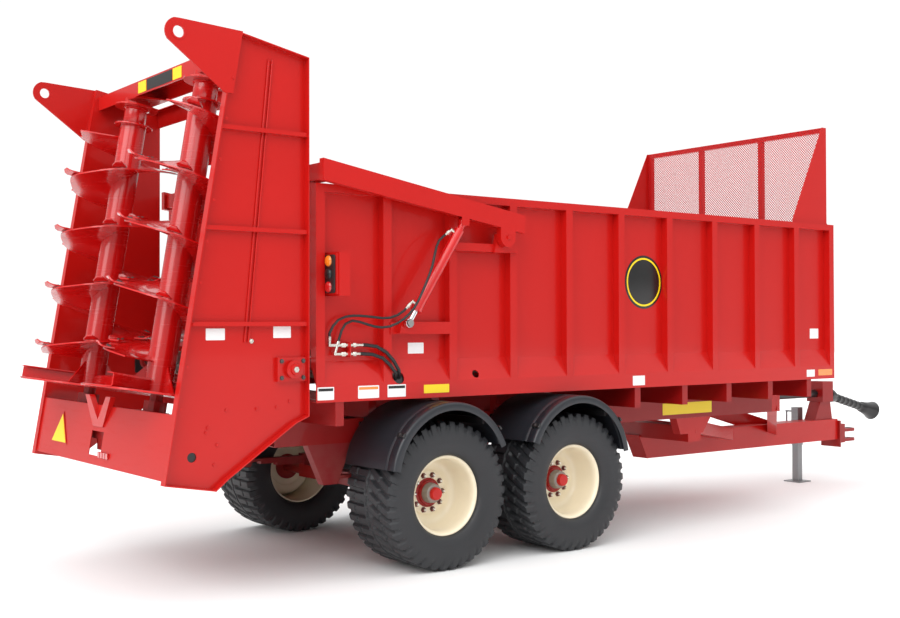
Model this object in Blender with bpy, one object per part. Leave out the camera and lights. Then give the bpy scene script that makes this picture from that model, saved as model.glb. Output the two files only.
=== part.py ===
"""A towed manure spreader with two upright beaters, one object per real piece.

Metres, +X towards the hitch, +Y towards the machine's left side, +Z up.
x = 0 is the rear end of the load box and z = 0 is the ground it stands on.
The whole machine hangs on one empty, which moves it so that the origin lies
on the ground under the middle of its box.
"""

import math

import bmesh
import bpy
from mathutils import Matrix, Vector

# ---------------------------------------------------------------- driving sizes
GAP = 0.0003                # left between pieces that touch
CLEARANCE = 0.008           # running clearance beside moving sheet metal

BAY = 0.610                 # pitch of the side ribs
BAYS = 10
BODY_WIDTH = 2.480          # over the ribs
RIB_DEPTH = 0.070
RIB_WIDTH = 0.073
SHEET = 0.005
RAIL_BOTTOM_Z = 1.296
RAIL_TOP_Z = 1.422
SLOPE_TOP_Z = 1.587
BOX_TOP_Z = 2.852
TOP_RAIL_HEIGHT = 0.059

FLOOR_Z = 1.613
FLOOR_PLATE = 0.006
FLOOR_RIB_HEIGHT = 0.070
CHAIN_THICKNESS = 0.024
CHAIN_WIDTH = 0.040
CHAIN_ARC_STEPS = 4         # flats round each half turn
CHAIN_OFFSET = 0.560        # chain line from the centre plane
SLAT_WIDTH = 0.036
SLAT_HEIGHT = 0.034
SLATS = 12                  # on each strand
SPROCKET_RADIUS = 0.085     # to the middle of the chain
APRON_REAR_X = -0.207
APRON_FRONT_INSET = 0.235
APRON_SHAFT_RADIUS = 0.030

FRAME_RAIL_FACE = 0.740     # outer face of a frame rail from the centre plane
FRAME_RAIL_WIDTH = 0.090
FRAME_RAIL_BOTTOM_Z = 0.945
FRAME_RAIL_TOP_Z = 1.125
FRAME_REAR_X = -0.050
FRAME_FRONT_X = 5.740
SILL_WIDTH = 0.070
SILL_OFFSET = 0.200         # of each sill from its rib

WHEEL_RADIUS = 0.560
TYRE_WIDTH = 0.600
TRACK = 2.160
REAR_AXLE_X = 1.080
AXLE_SPREAD = 1.305
RIM_RADIUS = 0.292
RIM_DISH_DEPTH = 0.250
WHEEL_SEGMENTS = 20
AXLE_SIZE = 0.110
SPINDLE_RADIUS = 0.045

FENDER_RADIUS = 0.555
FENDER_LIFT = 0.155         # arc centre above the hub
FENDER_SHEET = 0.010
FENDER_OVERHANG = 0.055     # past the tyre's outer face

HOUSING_WIDTH = 2.590       # over the flanges of the beater housing
HOUSING_FLANGE = 0.065
HOUSING_SHEET = 0.008
LEAN = math.radians(9.6)    # the beaters and the housing's rear edge lean forward
HOUSING_BOTTOM_X = -1.160
HOUSING_BOTTOM_Z = 0.812
HOUSING_TOP_Z = 3.824
HOUSING_FRONT_X = -0.086

BEATER_OFFSET = 0.635       # from the centre plane
BEATER_FOOT_X = -0.922
BEATER_FOOT_Z = 1.375       # top face of the spinner disc, on the beater's axis
BEATER_TUBE_RADIUS = 0.100
BEATER_LENGTH = 2.110
FLIGHT_RADIUS = 0.420
FLIGHT_PITCH = 0.446
FLIGHT_SHEET = 0.012
FLIGHT_PHASE = math.radians(152)
TOOTH_REACH = 0.490
TEETH_PER_TURN = 4
DISC_RADIUS = 0.520
DISC_SHEET = 0.014
PADDLES = 3
PADDLE_HEIGHT = 0.090
PADDLE_WIDTH = 0.065

GATE_PIVOT_X = 1.673
GATE_PIVOT_Z = 2.528
GATE_PANEL_X = 0.055
ARM_OUTER = 1.362           # outer face of a gate arm from the centre plane
ARM_THICKNESS = 0.055
CYLINDER_TOP_X = 1.249
CYLINDER_TOP_Z = 2.630
CYLINDER_FOOT_X = 0.735
CYLINDER_FOOT_Z = 1.859
BARREL_RADIUS = 0.038
BARREL_LENGTH = 0.815
PORT_REACH = 0.062          # end of a port's boss from the barrel's axis
PORT_RADIUS = 0.011
UPPER_PORT = 0.120          # along the barrel from its eye
LOWER_PORT = 0.775
ROD_RADIUS = 0.019
PIN_RADIUS = 0.016
EYE_HALF_WIDTH = 0.018      # of a cylinder's eye, from its own middle
ROUND_SEGMENTS = 12         # flats round a small turned part

POLE_X0 = 4.450
POLE_X1 = 7.800
POLE_WIDTH = 0.200
POLE_BOTTOM_Z = 0.490
POLE_TOP_Z = 0.730
HITCH_LENGTH = 0.430
JACK_X = 7.400
JACK_SIZE = 0.080
JACK_TOP_Z = 0.870
JACK_WALL = 0.006
DRIVELINE_Z = 1.035
DRIVELINE_RADIUS = 0.045
PTO_START = Vector((7.790, 0.0, 1.000))
PTO_END = Vector((8.640, 0.0, 0.785))

SCREEN_TOP_Z = 3.840
SCREEN_POST = 0.050
SCREEN_GUSSET_FOOT = 0.585

HOSE_RADIUS = 0.0095
SUPPLY_HOSE_RADIUS = 0.0135
HOSE_HOLE_RADIUS = 0.052
HOSE_HOLE = (0.716, 1.458)  # x, z in the sloped strip
GROMMET_HOLE = (1.451, 1.464)
HOSE_POINT_SPACING = 3.0    # in hose diameters
HOSE_LEAD = 0.022           # straight length at a fitting
FITTING_OUT = -0.030        # of the fittings' line from the ribs' face
UPPER_FITTING_Z = 1.701
LOWER_FITTING_Z = 1.637

# ------------------------------------------------------------- worked-out places
BOX_LENGTH = BAY * BAYS
HALF_BODY = BODY_WIDTH / 2
WALL_OUTER = HALF_BODY - RIB_DEPTH
WALL_INNER = WALL_OUTER - SHEET
HALF_HOUSING = HOUSING_WIDTH / 2
PANEL_INNER = HALF_HOUSING - HOUSING_FLANGE
HUB_Z = WHEEL_RADIUS
FRONT_AXLE_X = REAR_AXLE_X + AXLE_SPREAD
APRON_FRONT_X = BOX_LENGTH - APRON_FRONT_INSET
APRON_SHAFT_Z = FLOOR_Z + CHAIN_THICKNESS / 2 + GAP - SPROCKET_RADIUS
HOUSING_TOP_X = HOUSING_BOTTOM_X + math.tan(LEAN) * (HOUSING_TOP_Z - HOUSING_BOTTOM_Z)
ARM_INNER = ARM_OUTER - ARM_THICKNESS
ARM_MIDDLE = ARM_OUTER - ARM_THICKNESS / 2
STRIP_NORMAL = Vector((0.0, SLOPE_TOP_Z - RAIL_TOP_Z, RIB_DEPTH)).normalized()
CYLINDER_ALONG = Vector(
    (CYLINDER_FOOT_X - CYLINDER_TOP_X, 0.0, CYLINDER_FOOT_Z - CYLINDER_TOP_Z)).normalized()
CYLINDER_PORT_SIDE = Vector((CYLINDER_ALONG.z, 0.0, -CYLINDER_ALONG.x))
BEATER_AXIS = Vector((math.sin(LEAN), 0.0, math.cos(LEAN)))

PAINT = (0.62, 0.012, 0.014)
DARK_PAINT = (0.36, 0.010, 0.012)


# ------------------------------------------------------------------- mesh helpers
def clear_scene():
    for item in list(bpy.data.objects):
        bpy.data.objects.remove(item, do_unlink=True)


def material(name, colour, roughness=0.45, metallic=0.0):
    """A Principled material in one colour."""
    made = bpy.data.materials.get(name)
    if made is None:
        made = bpy.data.materials.new(name)
        made.use_nodes = True
        shader = made.node_tree.nodes["Principled BSDF"]
        shader.inputs["Base Color"].default_value = (*colour, 1.0)
        shader.inputs["Roughness"].default_value = roughness
        shader.inputs["Metallic"].default_value = metallic
    return made


def prism(outline, axis, low, high):
    """A closed outline extruded along one axis.

    The outline is (x, y) for Z, (x, z) for Y and (y, z) for X.
    """
    place = {
        "X": lambda a, b: (low, a, b),
        "Y": lambda a, b: (a, low, b),
        "Z": lambda a, b: (a, b, low),
    }[axis]
    step = {"X": (1, 0, 0), "Y": (0, 1, 0), "Z": (0, 0, 1)}[axis]
    mesh = bmesh.new()
    face = mesh.faces.new([mesh.verts.new(place(a, b)) for a, b in outline])
    grown = bmesh.ops.extrude_face_region(mesh, geom=[face])
    verts = [part for part in grown["geom"] if isinstance(part, bmesh.types.BMVert)]
    bmesh.ops.translate(mesh, verts=verts, vec=Vector(step) * (high - low))
    bmesh.ops.recalc_face_normals(mesh, faces=mesh.faces)
    return mesh


def box(x0, x1, y0, y1, z0, z1):
    return prism([(x0, y0), (x1, y0), (x1, y1), (x0, y1)], "Z", z0, z1)


def square_tube(x0, x1, y0, y1, z0, z1, wall):
    """A rectangular tube along X, open at both ends."""
    outer = box(x0, x1, y0, y1, z0, z1)
    inner = box(x0 - 1, x1 + 1, y0 + wall, y1 - wall, z0 + wall, z1 - wall)
    return cut(outer, inner)


def rod(start, end, radius, segments=16, end_radius=None):
    """A round bar, or a cone, between two points."""
    start, end = Vector(start), Vector(end)
    span = end - start
    turn = span.to_track_quat("Z", "Y").to_matrix().to_4x4()
    mesh = bmesh.new()
    bmesh.ops.create_cone(
        mesh, cap_ends=True, segments=segments, radius1=radius,
        radius2=radius if end_radius is None else end_radius, depth=span.length,
        matrix=Matrix.Translation((start + end) / 2) @ turn)
    return mesh


def beam(start, end, width, height, up=(0, 0, 1)):
    """A rectangular bar between two points, its height along up."""
    start, end, up = Vector(start), Vector(end), Vector(up)
    along = (end - start).normalized()
    side = up.cross(along).normalized()
    rise = along.cross(side)
    mesh = bmesh.new()
    turn = Matrix((along, side, rise)).transposed().to_4x4()
    size = Matrix.Diagonal(((end - start).length, width, height, 1))
    bmesh.ops.create_cube(mesh, size=1, matrix=Matrix.Translation((start + end) / 2) @ turn @ size)
    return mesh


def arc(centre, radius, start, end, steps):
    """Points on a round stretch, angles in degrees."""
    return [
        (centre[0] + radius * math.cos(math.radians(start + (end - start) * i / steps)),
         centre[1] + radius * math.sin(math.radians(start + (end - start) * i / steps)))
        for i in range(steps + 1)]


def sheet(points, thickness):
    """The outline of a bent sheet: the points are one face, the other lies to their left."""
    line = [Vector(point) for point in points]
    normals = []
    for first, second in zip(line, line[1:]):
        along = (second - first).normalized()
        normals.append(Vector((-along.y, along.x)))
    offset = []
    for index, point in enumerate(line):
        before = normals[max(index - 1, 0)]
        after = normals[min(index, len(normals) - 1)]
        mitre = (before + after).normalized()
        offset.append(point + mitre * (thickness / mitre.dot(after)))
    return [tuple(point) for point in line + offset[::-1]]


def turned(profile, centre, axis, segments=40):
    """A ring or disc: the closed (radius, along) profile spun about an axis through centre."""
    mesh = bmesh.new()
    axis = Vector(axis).normalized()
    turn = axis.to_track_quat("Z", "Y").to_matrix().to_4x4()
    rows = []
    for index in range(segments):
        angle = 2 * math.pi * index / segments
        rows.append([
            mesh.verts.new((radius * math.cos(angle), radius * math.sin(angle), along))
            for radius, along in profile])
    count = len(profile)
    for index in range(segments):
        here, there = rows[index], rows[(index + 1) % segments]
        for k in range(count):
            n = (k + 1) % count
            mesh.faces.new((here[k], here[n], there[n], there[k]))
    bmesh.ops.remove_doubles(mesh, verts=mesh.verts, dist=1e-6)
    bmesh.ops.recalc_face_normals(mesh, faces=mesh.faces)
    bmesh.ops.transform(mesh, matrix=Matrix.Translation(centre) @ turn, verts=mesh.verts)
    return mesh


def moved(mesh, matrix):
    bmesh.ops.transform(mesh, matrix=matrix, verts=mesh.verts)
    if matrix.determinant() < 0:
        bmesh.ops.reverse_faces(mesh, faces=mesh.faces)
    return mesh


def merged(meshes):
    """Several closed shapes that don't meet, as one mesh."""
    whole = bmesh.new()
    scratch = bpy.data.meshes.new("scratch")
    for mesh in meshes:
        mesh.to_mesh(scratch)
        whole.from_mesh(scratch)
        mesh.free()
    bpy.data.meshes.remove(scratch)
    return whole


def as_object(mesh, name):
    data = bpy.data.meshes.new(name)
    mesh.to_mesh(data)
    mesh.free()
    made = bpy.data.objects.new(name, data)
    bpy.context.collection.objects.link(made)
    return made


def combined(base, tool, operation):
    """The Boolean of two meshes, with the exact solver."""
    first, second = as_object(base, "base"), as_object(tool, "tool")
    modifier = first.modifiers.new("Boolean", "BOOLEAN")
    modifier.operation = operation
    modifier.solver = "EXACT"
    modifier.object = second
    seen = first.evaluated_get(bpy.context.evaluated_depsgraph_get())
    data = bpy.data.meshes.new_from_object(seen)
    result = bmesh.new()
    result.from_mesh(data)
    bpy.data.meshes.remove(data)
    for item in (first, second):
        old = item.data
        bpy.data.objects.remove(item, do_unlink=True)
        bpy.data.meshes.remove(old)
    bmesh.ops.dissolve_degenerate(result, edges=result.edges, dist=1e-6)
    return result


def fuse(*meshes):
    whole = meshes[0]
    for mesh in meshes[1:]:
        whole = combined(whole, mesh, "UNION")
    return whole


def cut(base, *tools):
    for tool in tools:
        base = combined(base, tool, "DIFFERENCE")
    return base


def add(name, mesh, paint, origin=(0, 0, 0), smooth=False, rotation=None):
    """One node: its mesh, its material, and its own origin on its joint's axis."""
    turn = rotation or Matrix.Identity(4)
    place = Matrix.Translation(origin) @ turn
    bmesh.ops.transform(mesh, matrix=place.inverted(), verts=mesh.verts)
    made = as_object(mesh, name)
    made.parent = bpy.data.objects["spreader"]
    made.location = origin
    made.rotation_euler = turn.to_euler()
    made.data.materials.clear()
    made.data.materials.append(paint)
    if smooth:
        made.data.shade_smooth()
        made.data.set_sharp_from_angle(angle=math.radians(35))
    return made


MIRROR = Matrix.Diagonal((1, -1, 1, 1))
SIDES = {"right": -1, "left": 1}


def on_side(mesh, side):
    """A shape modelled on the left (+Y), put on the named side."""
    return mesh if SIDES[side] > 0 else moved(mesh, MIRROR)


# ------------------------------------------------------------------ load box
def side_wall_profile():
    """The bent side sheet with its top rail and bottom channel, as (y, z)."""
    rail_inner = HALF_BODY - 0.060
    return [
        (WALL_INNER, BOX_TOP_Z),
        (WALL_INNER, FLOOR_Z - FLOOR_PLATE - FLOOR_RIB_HEIGHT - 0.010),
        (WALL_OUTER, FLOOR_Z - FLOOR_PLATE - FLOOR_RIB_HEIGHT - 0.010),
        (WALL_OUTER, SLOPE_TOP_Z - 0.030),
        (HALF_BODY - SHEET, RAIL_TOP_Z - 0.004),
        (HALF_BODY - SHEET, RAIL_BOTTOM_Z + SHEET),
        (rail_inner, RAIL_BOTTOM_Z + SHEET),
        (rail_inner, RAIL_BOTTOM_Z),
        (HALF_BODY, RAIL_BOTTOM_Z),
        (HALF_BODY, RAIL_TOP_Z),
        (WALL_OUTER, SLOPE_TOP_Z),
        (WALL_OUTER, BOX_TOP_Z - TOP_RAIL_HEIGHT),
        (HALF_BODY, BOX_TOP_Z - TOP_RAIL_HEIGHT),
        (HALF_BODY, BOX_TOP_Z),
    ]


def rib(index):
    """A hat rib: its foot runs down over the sloped strip."""
    x = min(max(index * BAY, RIB_WIDTH / 2), BOX_LENGTH - RIB_WIDTH / 2)
    bite = 0.002
    outline = [
        (WALL_OUTER - bite, RAIL_TOP_Z + 0.14),
        (HALF_BODY - bite, RAIL_TOP_Z - 0.003),
        (HALF_BODY, RAIL_TOP_Z - 0.003),
        (HALF_BODY, BOX_TOP_Z - TOP_RAIL_HEIGHT + bite),
        (WALL_OUTER - bite, BOX_TOP_Z - TOP_RAIL_HEIGHT + bite),
    ]
    return prism(outline, "X", x - RIB_WIDTH / 2, x + RIB_WIDTH / 2)


def gate_pivot_mount():
    """The bar, plate and pin that carry a gate arm, outside the side wall."""
    bar = box(2 * BAY - 0.01, GATE_PIVOT_X, HALF_BODY - 0.012, HALF_BODY + 0.038,
              GATE_PIVOT_Z - 0.112, GATE_PIVOT_Z - 0.050)
    plate = prism([(GATE_PIVOT_X - 0.089, GATE_PIVOT_Z - 0.118),
                   (GATE_PIVOT_X + 0.090, GATE_PIVOT_Z - 0.114),
                   (GATE_PIVOT_X + 0.060, GATE_PIVOT_Z + 0.030),
                   (GATE_PIVOT_X, GATE_PIVOT_Z + 0.050),
                   (GATE_PIVOT_X - 0.060, GATE_PIVOT_Z + 0.030)],
                  "Y", HALF_BODY + 0.020, ARM_INNER - CLEARANCE)
    foot = box(GATE_PIVOT_X - 0.089, 3 * BAY + 0.01, HALF_BODY - 0.012, HALF_BODY + 0.038,
               GATE_PIVOT_Z - 0.112, GATE_PIVOT_Z - 0.050)
    pin = rod((GATE_PIVOT_X, HALF_BODY + 0.030, GATE_PIVOT_Z),
              (GATE_PIVOT_X, ARM_OUTER + 0.012, GATE_PIVOT_Z), PIN_RADIUS)
    return [bar, foot, plate, pin]


def cylinder_foot_mount():
    """The bar, lug and pin beside a gate cylinder's rod eye; the pin stops short of the eye."""
    bar = box(BAY + 0.02, 2 * BAY - 0.02, HALF_BODY - 0.050, HALF_BODY + 0.010,
              CYLINDER_FOOT_Z - 0.082, CYLINDER_FOOT_Z + 0.010)
    lug = prism([(CYLINDER_FOOT_X - 0.060, CYLINDER_FOOT_Z - 0.075),
                 (CYLINDER_FOOT_X + 0.060, CYLINDER_FOOT_Z - 0.075),
                 (CYLINDER_FOOT_X + 0.030, CYLINDER_FOOT_Z + 0.028),
                 (CYLINDER_FOOT_X - 0.030, CYLINDER_FOOT_Z + 0.028)],
                "Y", HALF_BODY - 0.002, ARM_MIDDLE - 0.024 - CLEARANCE)
    pin = rod((CYLINDER_FOOT_X, HALF_BODY + 0.002, CYLINDER_FOOT_Z),
              (CYLINDER_FOOT_X, ARM_MIDDLE - EYE_HALF_WIDTH - 0.006, CYLINDER_FOOT_Z), PIN_RADIUS)
    ends = merged([box(BAY - 0.01, BAY + 0.03, WALL_OUTER - 0.002, HALF_BODY - 0.004,
                       CYLINDER_FOOT_Z - 0.082, CYLINDER_FOOT_Z + 0.010),
                   box(2 * BAY - 0.03, 2 * BAY + 0.01, WALL_OUTER - 0.002, HALF_BODY - 0.004,
                       CYLINDER_FOOT_Z - 0.082, CYLINDER_FOOT_Z + 0.010)])
    return [bar, ends, lug, pin]


def strip_face(z):
    """How far out the sloped strip's outer face lies at a height."""
    return WALL_OUTER + RIB_DEPTH * (SLOPE_TOP_Z - z) / (SLOPE_TOP_Z - RAIL_TOP_Z)


def build_side_walls():
    paint = material("red_paint", PAINT, 0.35)
    for side in SIDES:
        wall = prism(side_wall_profile(), "X", 0.0, BOX_LENGTH)
        ribs = merged([rib(index) for index in range(BAYS + 1)])
        wall = fuse(wall, ribs, *gate_pivot_mount(), *cylinder_foot_mount())
        holes = []
        for (x, z), radius in ((HOSE_HOLE, HOSE_HOLE_RADIUS), (GROMMET_HOLE, 0.033)):
            face = Vector((x, strip_face(z), z))
            holes.append(rod(face - STRIP_NORMAL * 0.05, face + STRIP_NORMAL * 0.05, radius,
                             ROUND_SEGMENTS))
        wall = cut(wall, *holes)
        add(f"side_wall_{side}", on_side(wall, side), paint)


def build_front_wall():
    """The front wall between the sides, with the screen's frame and gussets above it."""
    paint = material("red_paint", PAINT, 0.35)
    x1 = BOX_LENGTH
    x0 = x1 - 0.050
    half = WALL_INNER - GAP
    wall = box(x0, x0 + SHEET, -half, half, FLOOR_Z - 0.12, BOX_TOP_Z)
    stiffeners = merged([
        box(x0 + SHEET - 0.001, x1, y - 0.03, y + 0.03, FLOOR_Z - 0.12, BOX_TOP_Z - 0.02)
        for y in (-1.10, -0.8, -0.27, 0.27, 0.8, 1.10)])
    screen_half = HALF_BODY - 0.040
    foot_z = BOX_TOP_Z + GAP
    frame_x = x1 - 0.110
    posts = []
    for y in (-screen_half + SCREEN_POST / 2, -0.41, 0.41, screen_half - SCREEN_POST / 2):
        posts.append(box(frame_x, frame_x + SCREEN_POST, y - SCREEN_POST / 2, y + SCREEN_POST / 2,
                         foot_z, SCREEN_TOP_Z - 0.01))
    top = box(frame_x, frame_x + SCREEN_POST, -screen_half, screen_half,
              SCREEN_TOP_Z - SCREEN_POST, SCREEN_TOP_Z)
    bottom = box(frame_x, x1, -half, half, foot_z - 0.06, foot_z + 0.02)
    bottom_bar = box(frame_x, frame_x + SCREEN_POST, -screen_half, screen_half, foot_z, foot_z + 0.02)
    gussets = []
    for sign in (-1, 1):
        inner, outer = sorted((sign * (screen_half - SHEET), sign * screen_half))
        gussets.append(prism([
            (frame_x + SCREEN_POST, foot_z), (frame_x + SCREEN_POST, SCREEN_TOP_Z),
            (frame_x - 0.02, SCREEN_TOP_Z), (x1 - SCREEN_GUSSET_FOOT - 0.03, foot_z + 0.03),
            (x1 - SCREEN_GUSSET_FOOT - 0.03, foot_z)], "Y", inner, outer))
    add("front_wall", fuse(wall, stiffeners, bottom, bottom_bar, *posts, top, *gussets), paint)
    mesh_paint = material("screen_paint", PAINT, 0.5)
    panel_x = frame_x - GAP
    panel = box(panel_x - 0.003, panel_x, -screen_half + SHEET + GAP, screen_half - SHEET - GAP,
                foot_z + 0.003, SCREEN_TOP_Z - 0.003)
    add("screen_panel", panel, mesh_paint)


def build_floor():
    half = WALL_INNER - GAP
    top = FLOOR_Z - GAP
    front = APRON_FRONT_X - SPROCKET_RADIUS - 0.020
    rear = APRON_REAR_X + SPROCKET_RADIUS + 0.020
    plate = box(rear, front, -half, half, top - FLOOR_PLATE, top)
    ribs = merged([
        box(index * BAY + 0.02, index * BAY + 0.08, -half, half,
            top - FLOOR_PLATE - FLOOR_RIB_HEIGHT, top - FLOOR_PLATE + 0.001)
        for index in range(BAYS)])
    add("floor", fuse(plate, ribs), material("floor_paint", DARK_PAINT, 0.5))


def loop_outline(offset):
    """The chain's path at a distance outside its middle line, as (x, z)."""
    radius = SPROCKET_RADIUS + offset
    rear = arc((APRON_REAR_X, APRON_SHAFT_Z), radius, 270, 90, CHAIN_ARC_STEPS)
    front = arc((APRON_FRONT_X, APRON_SHAFT_Z), radius, 90, -90, CHAIN_ARC_STEPS)
    return rear + front


def build_apron():
    """Two chains joined by slats on both strands, one loop."""
    half_chain = CHAIN_THICKNESS / 2
    chains = []
    for y in (-CHAIN_OFFSET, CHAIN_OFFSET):
        low, high = y - CHAIN_WIDTH / 2, y + CHAIN_WIDTH / 2
        outer = prism(loop_outline(half_chain), "Y", low, high)
        inner = prism(loop_outline(-half_chain), "Y", low - 0.1, high + 0.1)
        chains.append(cut(outer, inner))
    top = FLOOR_Z + 2 * GAP
    bottom = APRON_SHAFT_Z - SPROCKET_RADIUS + half_chain
    pitch = (APRON_FRONT_X - APRON_REAR_X) / SLATS
    slats = []
    for index in range(SLATS):
        x = APRON_REAR_X + (index + 0.5) * pitch
        slats.append(box(x - SLAT_WIDTH / 2, x + SLAT_WIDTH / 2, -1.04, 1.04, top, top + SLAT_HEIGHT))
        slats.append(box(x - SLAT_WIDTH / 2, x + SLAT_WIDTH / 2, -1.04, 1.04,
                         bottom - SLAT_HEIGHT, bottom - 0.002))
    add("apron", fuse(merged(chains), merged(slats)), material("apron_steel", (0.16, 0.10, 0.09), 0.6, 0.6))


def build_apron_shafts():
    steel = material("shaft_steel", (0.25, 0.23, 0.22), 0.45, 0.8)
    flats = math.cos(math.pi / (2 * CHAIN_ARC_STEPS))
    radius = (SPROCKET_RADIUS - CHAIN_THICKNESS / 2) * flats - GAP
    for name, x, half in (("apron_drive_shaft", APRON_REAR_X, PANEL_INNER - GAP),
                          ("apron_idler_shaft", APRON_FRONT_X, WALL_INNER - GAP)):
        shaft = rod((x, -half, APRON_SHAFT_Z), (x, half, APRON_SHAFT_Z), APRON_SHAFT_RADIUS)
        wheels = merged([
            rod((x, y - 0.015, APRON_SHAFT_Z), (x, y + 0.015, APRON_SHAFT_Z), radius, 24)
            for y in (-CHAIN_OFFSET, CHAIN_OFFSET)])
        add(name, fuse(shaft, wheels), steel)


# -------------------------------------------------------------------- chassis
def sill(index):
    """A cross sill; beside the wheels it is short, elsewhere it reaches the side rails."""
    x = index * BAY + SILL_OFFSET
    beside_wheels = REAR_AXLE_X - 0.75 < x < FRONT_AXLE_X + 0.75
    half = FRAME_RAIL_FACE - 0.005 if beside_wheels else HALF_BODY - 0.010
    return box(x - SILL_WIDTH / 2, x + SILL_WIDTH / 2, -half, half,
               FRAME_RAIL_TOP_Z - 0.002, RAIL_BOTTOM_Z - GAP)


def build_chassis():
    paint = material("chassis_paint", DARK_PAINT, 0.45)
    rails = []
    for sign in (-1, 1):
        low, high = sorted((sign * FRAME_RAIL_FACE, sign * (FRAME_RAIL_FACE - FRAME_RAIL_WIDTH)))
        rails.append(square_tube(FRAME_REAR_X, FRAME_FRONT_X, low, high,
                                 FRAME_RAIL_BOTTOM_Z, FRAME_RAIL_TOP_Z, 0.008))
    sills = merged([sill(index) for index in range(BAYS)])
    cross = merged([
        box(x, x + 0.08, -FRAME_RAIL_FACE + 0.02, FRAME_RAIL_FACE - 0.02,
            FRAME_RAIL_BOTTOM_Z + 0.01, FRAME_RAIL_TOP_Z - 0.01)
        for x in (FRAME_REAR_X + 0.02, 3.30, FRAME_FRONT_X - 0.10)])
    cross = cut(cross, rod((FRAME_REAR_X - 1, 0, DRIVELINE_Z), (FRAME_FRONT_X + 1, 0, DRIVELINE_Z),
                           DRIVELINE_RADIUS + 0.004, 16))
    add("chassis_frame", fuse(merged(rails), cross, sills), paint)


def build_drawbar():
    """The pole with its V-shaped plates up to the frame rails."""
    paint = material("red_paint", PAINT, 0.35)
    half = POLE_WIDTH / 2
    pole = prism([(POLE_X0, POLE_TOP_Z), (POLE_X0 + 0.12, POLE_BOTTOM_Z),
                  (POLE_X1, POLE_BOTTOM_Z), (POLE_X1, POLE_TOP_Z)], "Y", -half, half)
    braces = []
    for sign in (-1, 1):
        y = sign * (FRAME_RAIL_FACE - FRAME_RAIL_WIDTH / 2)
        braces.append(beam((POLE_X0 + 0.10, y, 0.855), (POLE_X0 + 1.55, 0, 0.640), 0.10, 0.120))
        braces.append(beam((FRAME_FRONT_X + 0.06, y, 1.035), (POLE_X0 + 2.25, 0, 0.660), 0.10, 0.170))
        low, high = sorted((y - 0.045, y + 0.045))
        braces.append(prism([
            (POLE_X0 - 0.16, FRAME_RAIL_BOTTOM_Z - GAP), (POLE_X0 - 0.10, 0.790),
            (POLE_X0 + 0.22, 0.790), (POLE_X0 + 0.34, FRAME_RAIL_BOTTOM_Z - GAP)], "Y", low, high))
        braces.append(box(FRAME_FRONT_X + GAP, FRAME_FRONT_X + 0.13, low, high,
                          FRAME_RAIL_BOTTOM_Z, FRAME_RAIL_TOP_Z))
    cross = box(POLE_X0 + 0.02, POLE_X0 + 0.20, -FRAME_RAIL_FACE + 0.01, FRAME_RAIL_FACE - 0.01,
                POLE_TOP_Z - 0.02, 0.860)
    add("drawbar", fuse(pole, cross, *braces), paint)


def build_hitch():
    paint = material("hitch_paint", DARK_PAINT, 0.45)
    x0 = POLE_X1 + GAP
    x1 = POLE_X1 + HITCH_LENGTH
    plate = box(x0, x0 + 0.022, -0.13, 0.13, POLE_BOTTOM_Z - 0.09, POLE_TOP_Z - 0.02)
    neck = box(x0 + 0.02, x0 + 0.19, -0.07, 0.07, POLE_BOTTOM_Z - 0.05, POLE_TOP_Z - 0.07)
    clevis = []
    for z in (POLE_BOTTOM_Z - 0.04, POLE_BOTTOM_Z + 0.075):
        outline = arc((x1 - 0.07, 0.0), 0.07, -90, 90, 10)
        outline += [(x0 + 0.15, 0.07), (x0 + 0.15, -0.07)]
        clevis.append(cut(prism(outline, "Z", z, z + 0.035),
                          rod((x1 - 0.07, 0, z - 0.1), (x1 - 0.07, 0, z + 0.1), 0.022)))
    add("hitch_clevis", fuse(plate, neck, *clevis), paint)


def build_jack():
    """A square sleeve on the pole's left side and the leg that slides in it."""
    steel = material("galvanised", (0.42, 0.43, 0.44), 0.45, 0.9)
    y = POLE_WIDTH / 2 + 0.030 + JACK_SIZE / 2 + JACK_WALL
    half = JACK_SIZE / 2 + JACK_WALL
    sleeve = box(JACK_X - half, JACK_X + half, y - half, y + half, 0.430, JACK_TOP_Z)
    inside = JACK_SIZE / 2 + 0.0005
    sleeve = cut(sleeve, box(JACK_X - inside, JACK_X + inside, y - inside, y + inside,
                             0.3, JACK_TOP_Z - JACK_WALL))
    lug = box(JACK_X - 0.06, JACK_X + 0.06, POLE_WIDTH / 2 + GAP, y - half + 0.002,
              POLE_BOTTOM_Z + 0.03, POLE_TOP_Z - 0.03)
    crank = rod((JACK_X, y + half - 0.005, JACK_TOP_Z - 0.05),
                (JACK_X, y + half + 0.11, JACK_TOP_Z - 0.05), 0.011)
    arm = rod((JACK_X, y + half + 0.10, JACK_TOP_Z - 0.05),
              (JACK_X, y + half + 0.10, JACK_TOP_Z - 0.25), 0.010)
    add("jack_sleeve", fuse(sleeve, lug, crank, arm), steel)
    size = JACK_SIZE / 2
    leg = box(JACK_X - size, JACK_X + size, y - size, y + size, 0.010, JACK_TOP_Z - 0.33)
    foot = box(JACK_X - 0.11, JACK_X + 0.11, y - 0.11, y + 0.11, 0.0, 0.012)
    add("jack_leg", fuse(leg, foot), steel, origin=(JACK_X, y, 0.430))


def build_running_gear():
    steel = material("axle_paint", DARK_PAINT, 0.5)
    hub_face = TRACK / 2
    for name, x in (("axle_rear", REAR_AXLE_X), ("axle_front", FRONT_AXLE_X)):
        half = TRACK / 2 - TYRE_WIDTH / 2 - 0.015
        bar = box(x - AXLE_SIZE / 2, x + AXLE_SIZE / 2, -half, half,
                  HUB_Z - AXLE_SIZE / 2, HUB_Z + AXLE_SIZE / 2)
        spindle = rod((x, -hub_face, HUB_Z), (x, hub_face, HUB_Z), SPINDLE_RADIUS)
        add(name, fuse(bar, spindle), steel)
    for side in SIDES:
        add(f"suspension_{side}", on_side(suspension(), side), steel)


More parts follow.
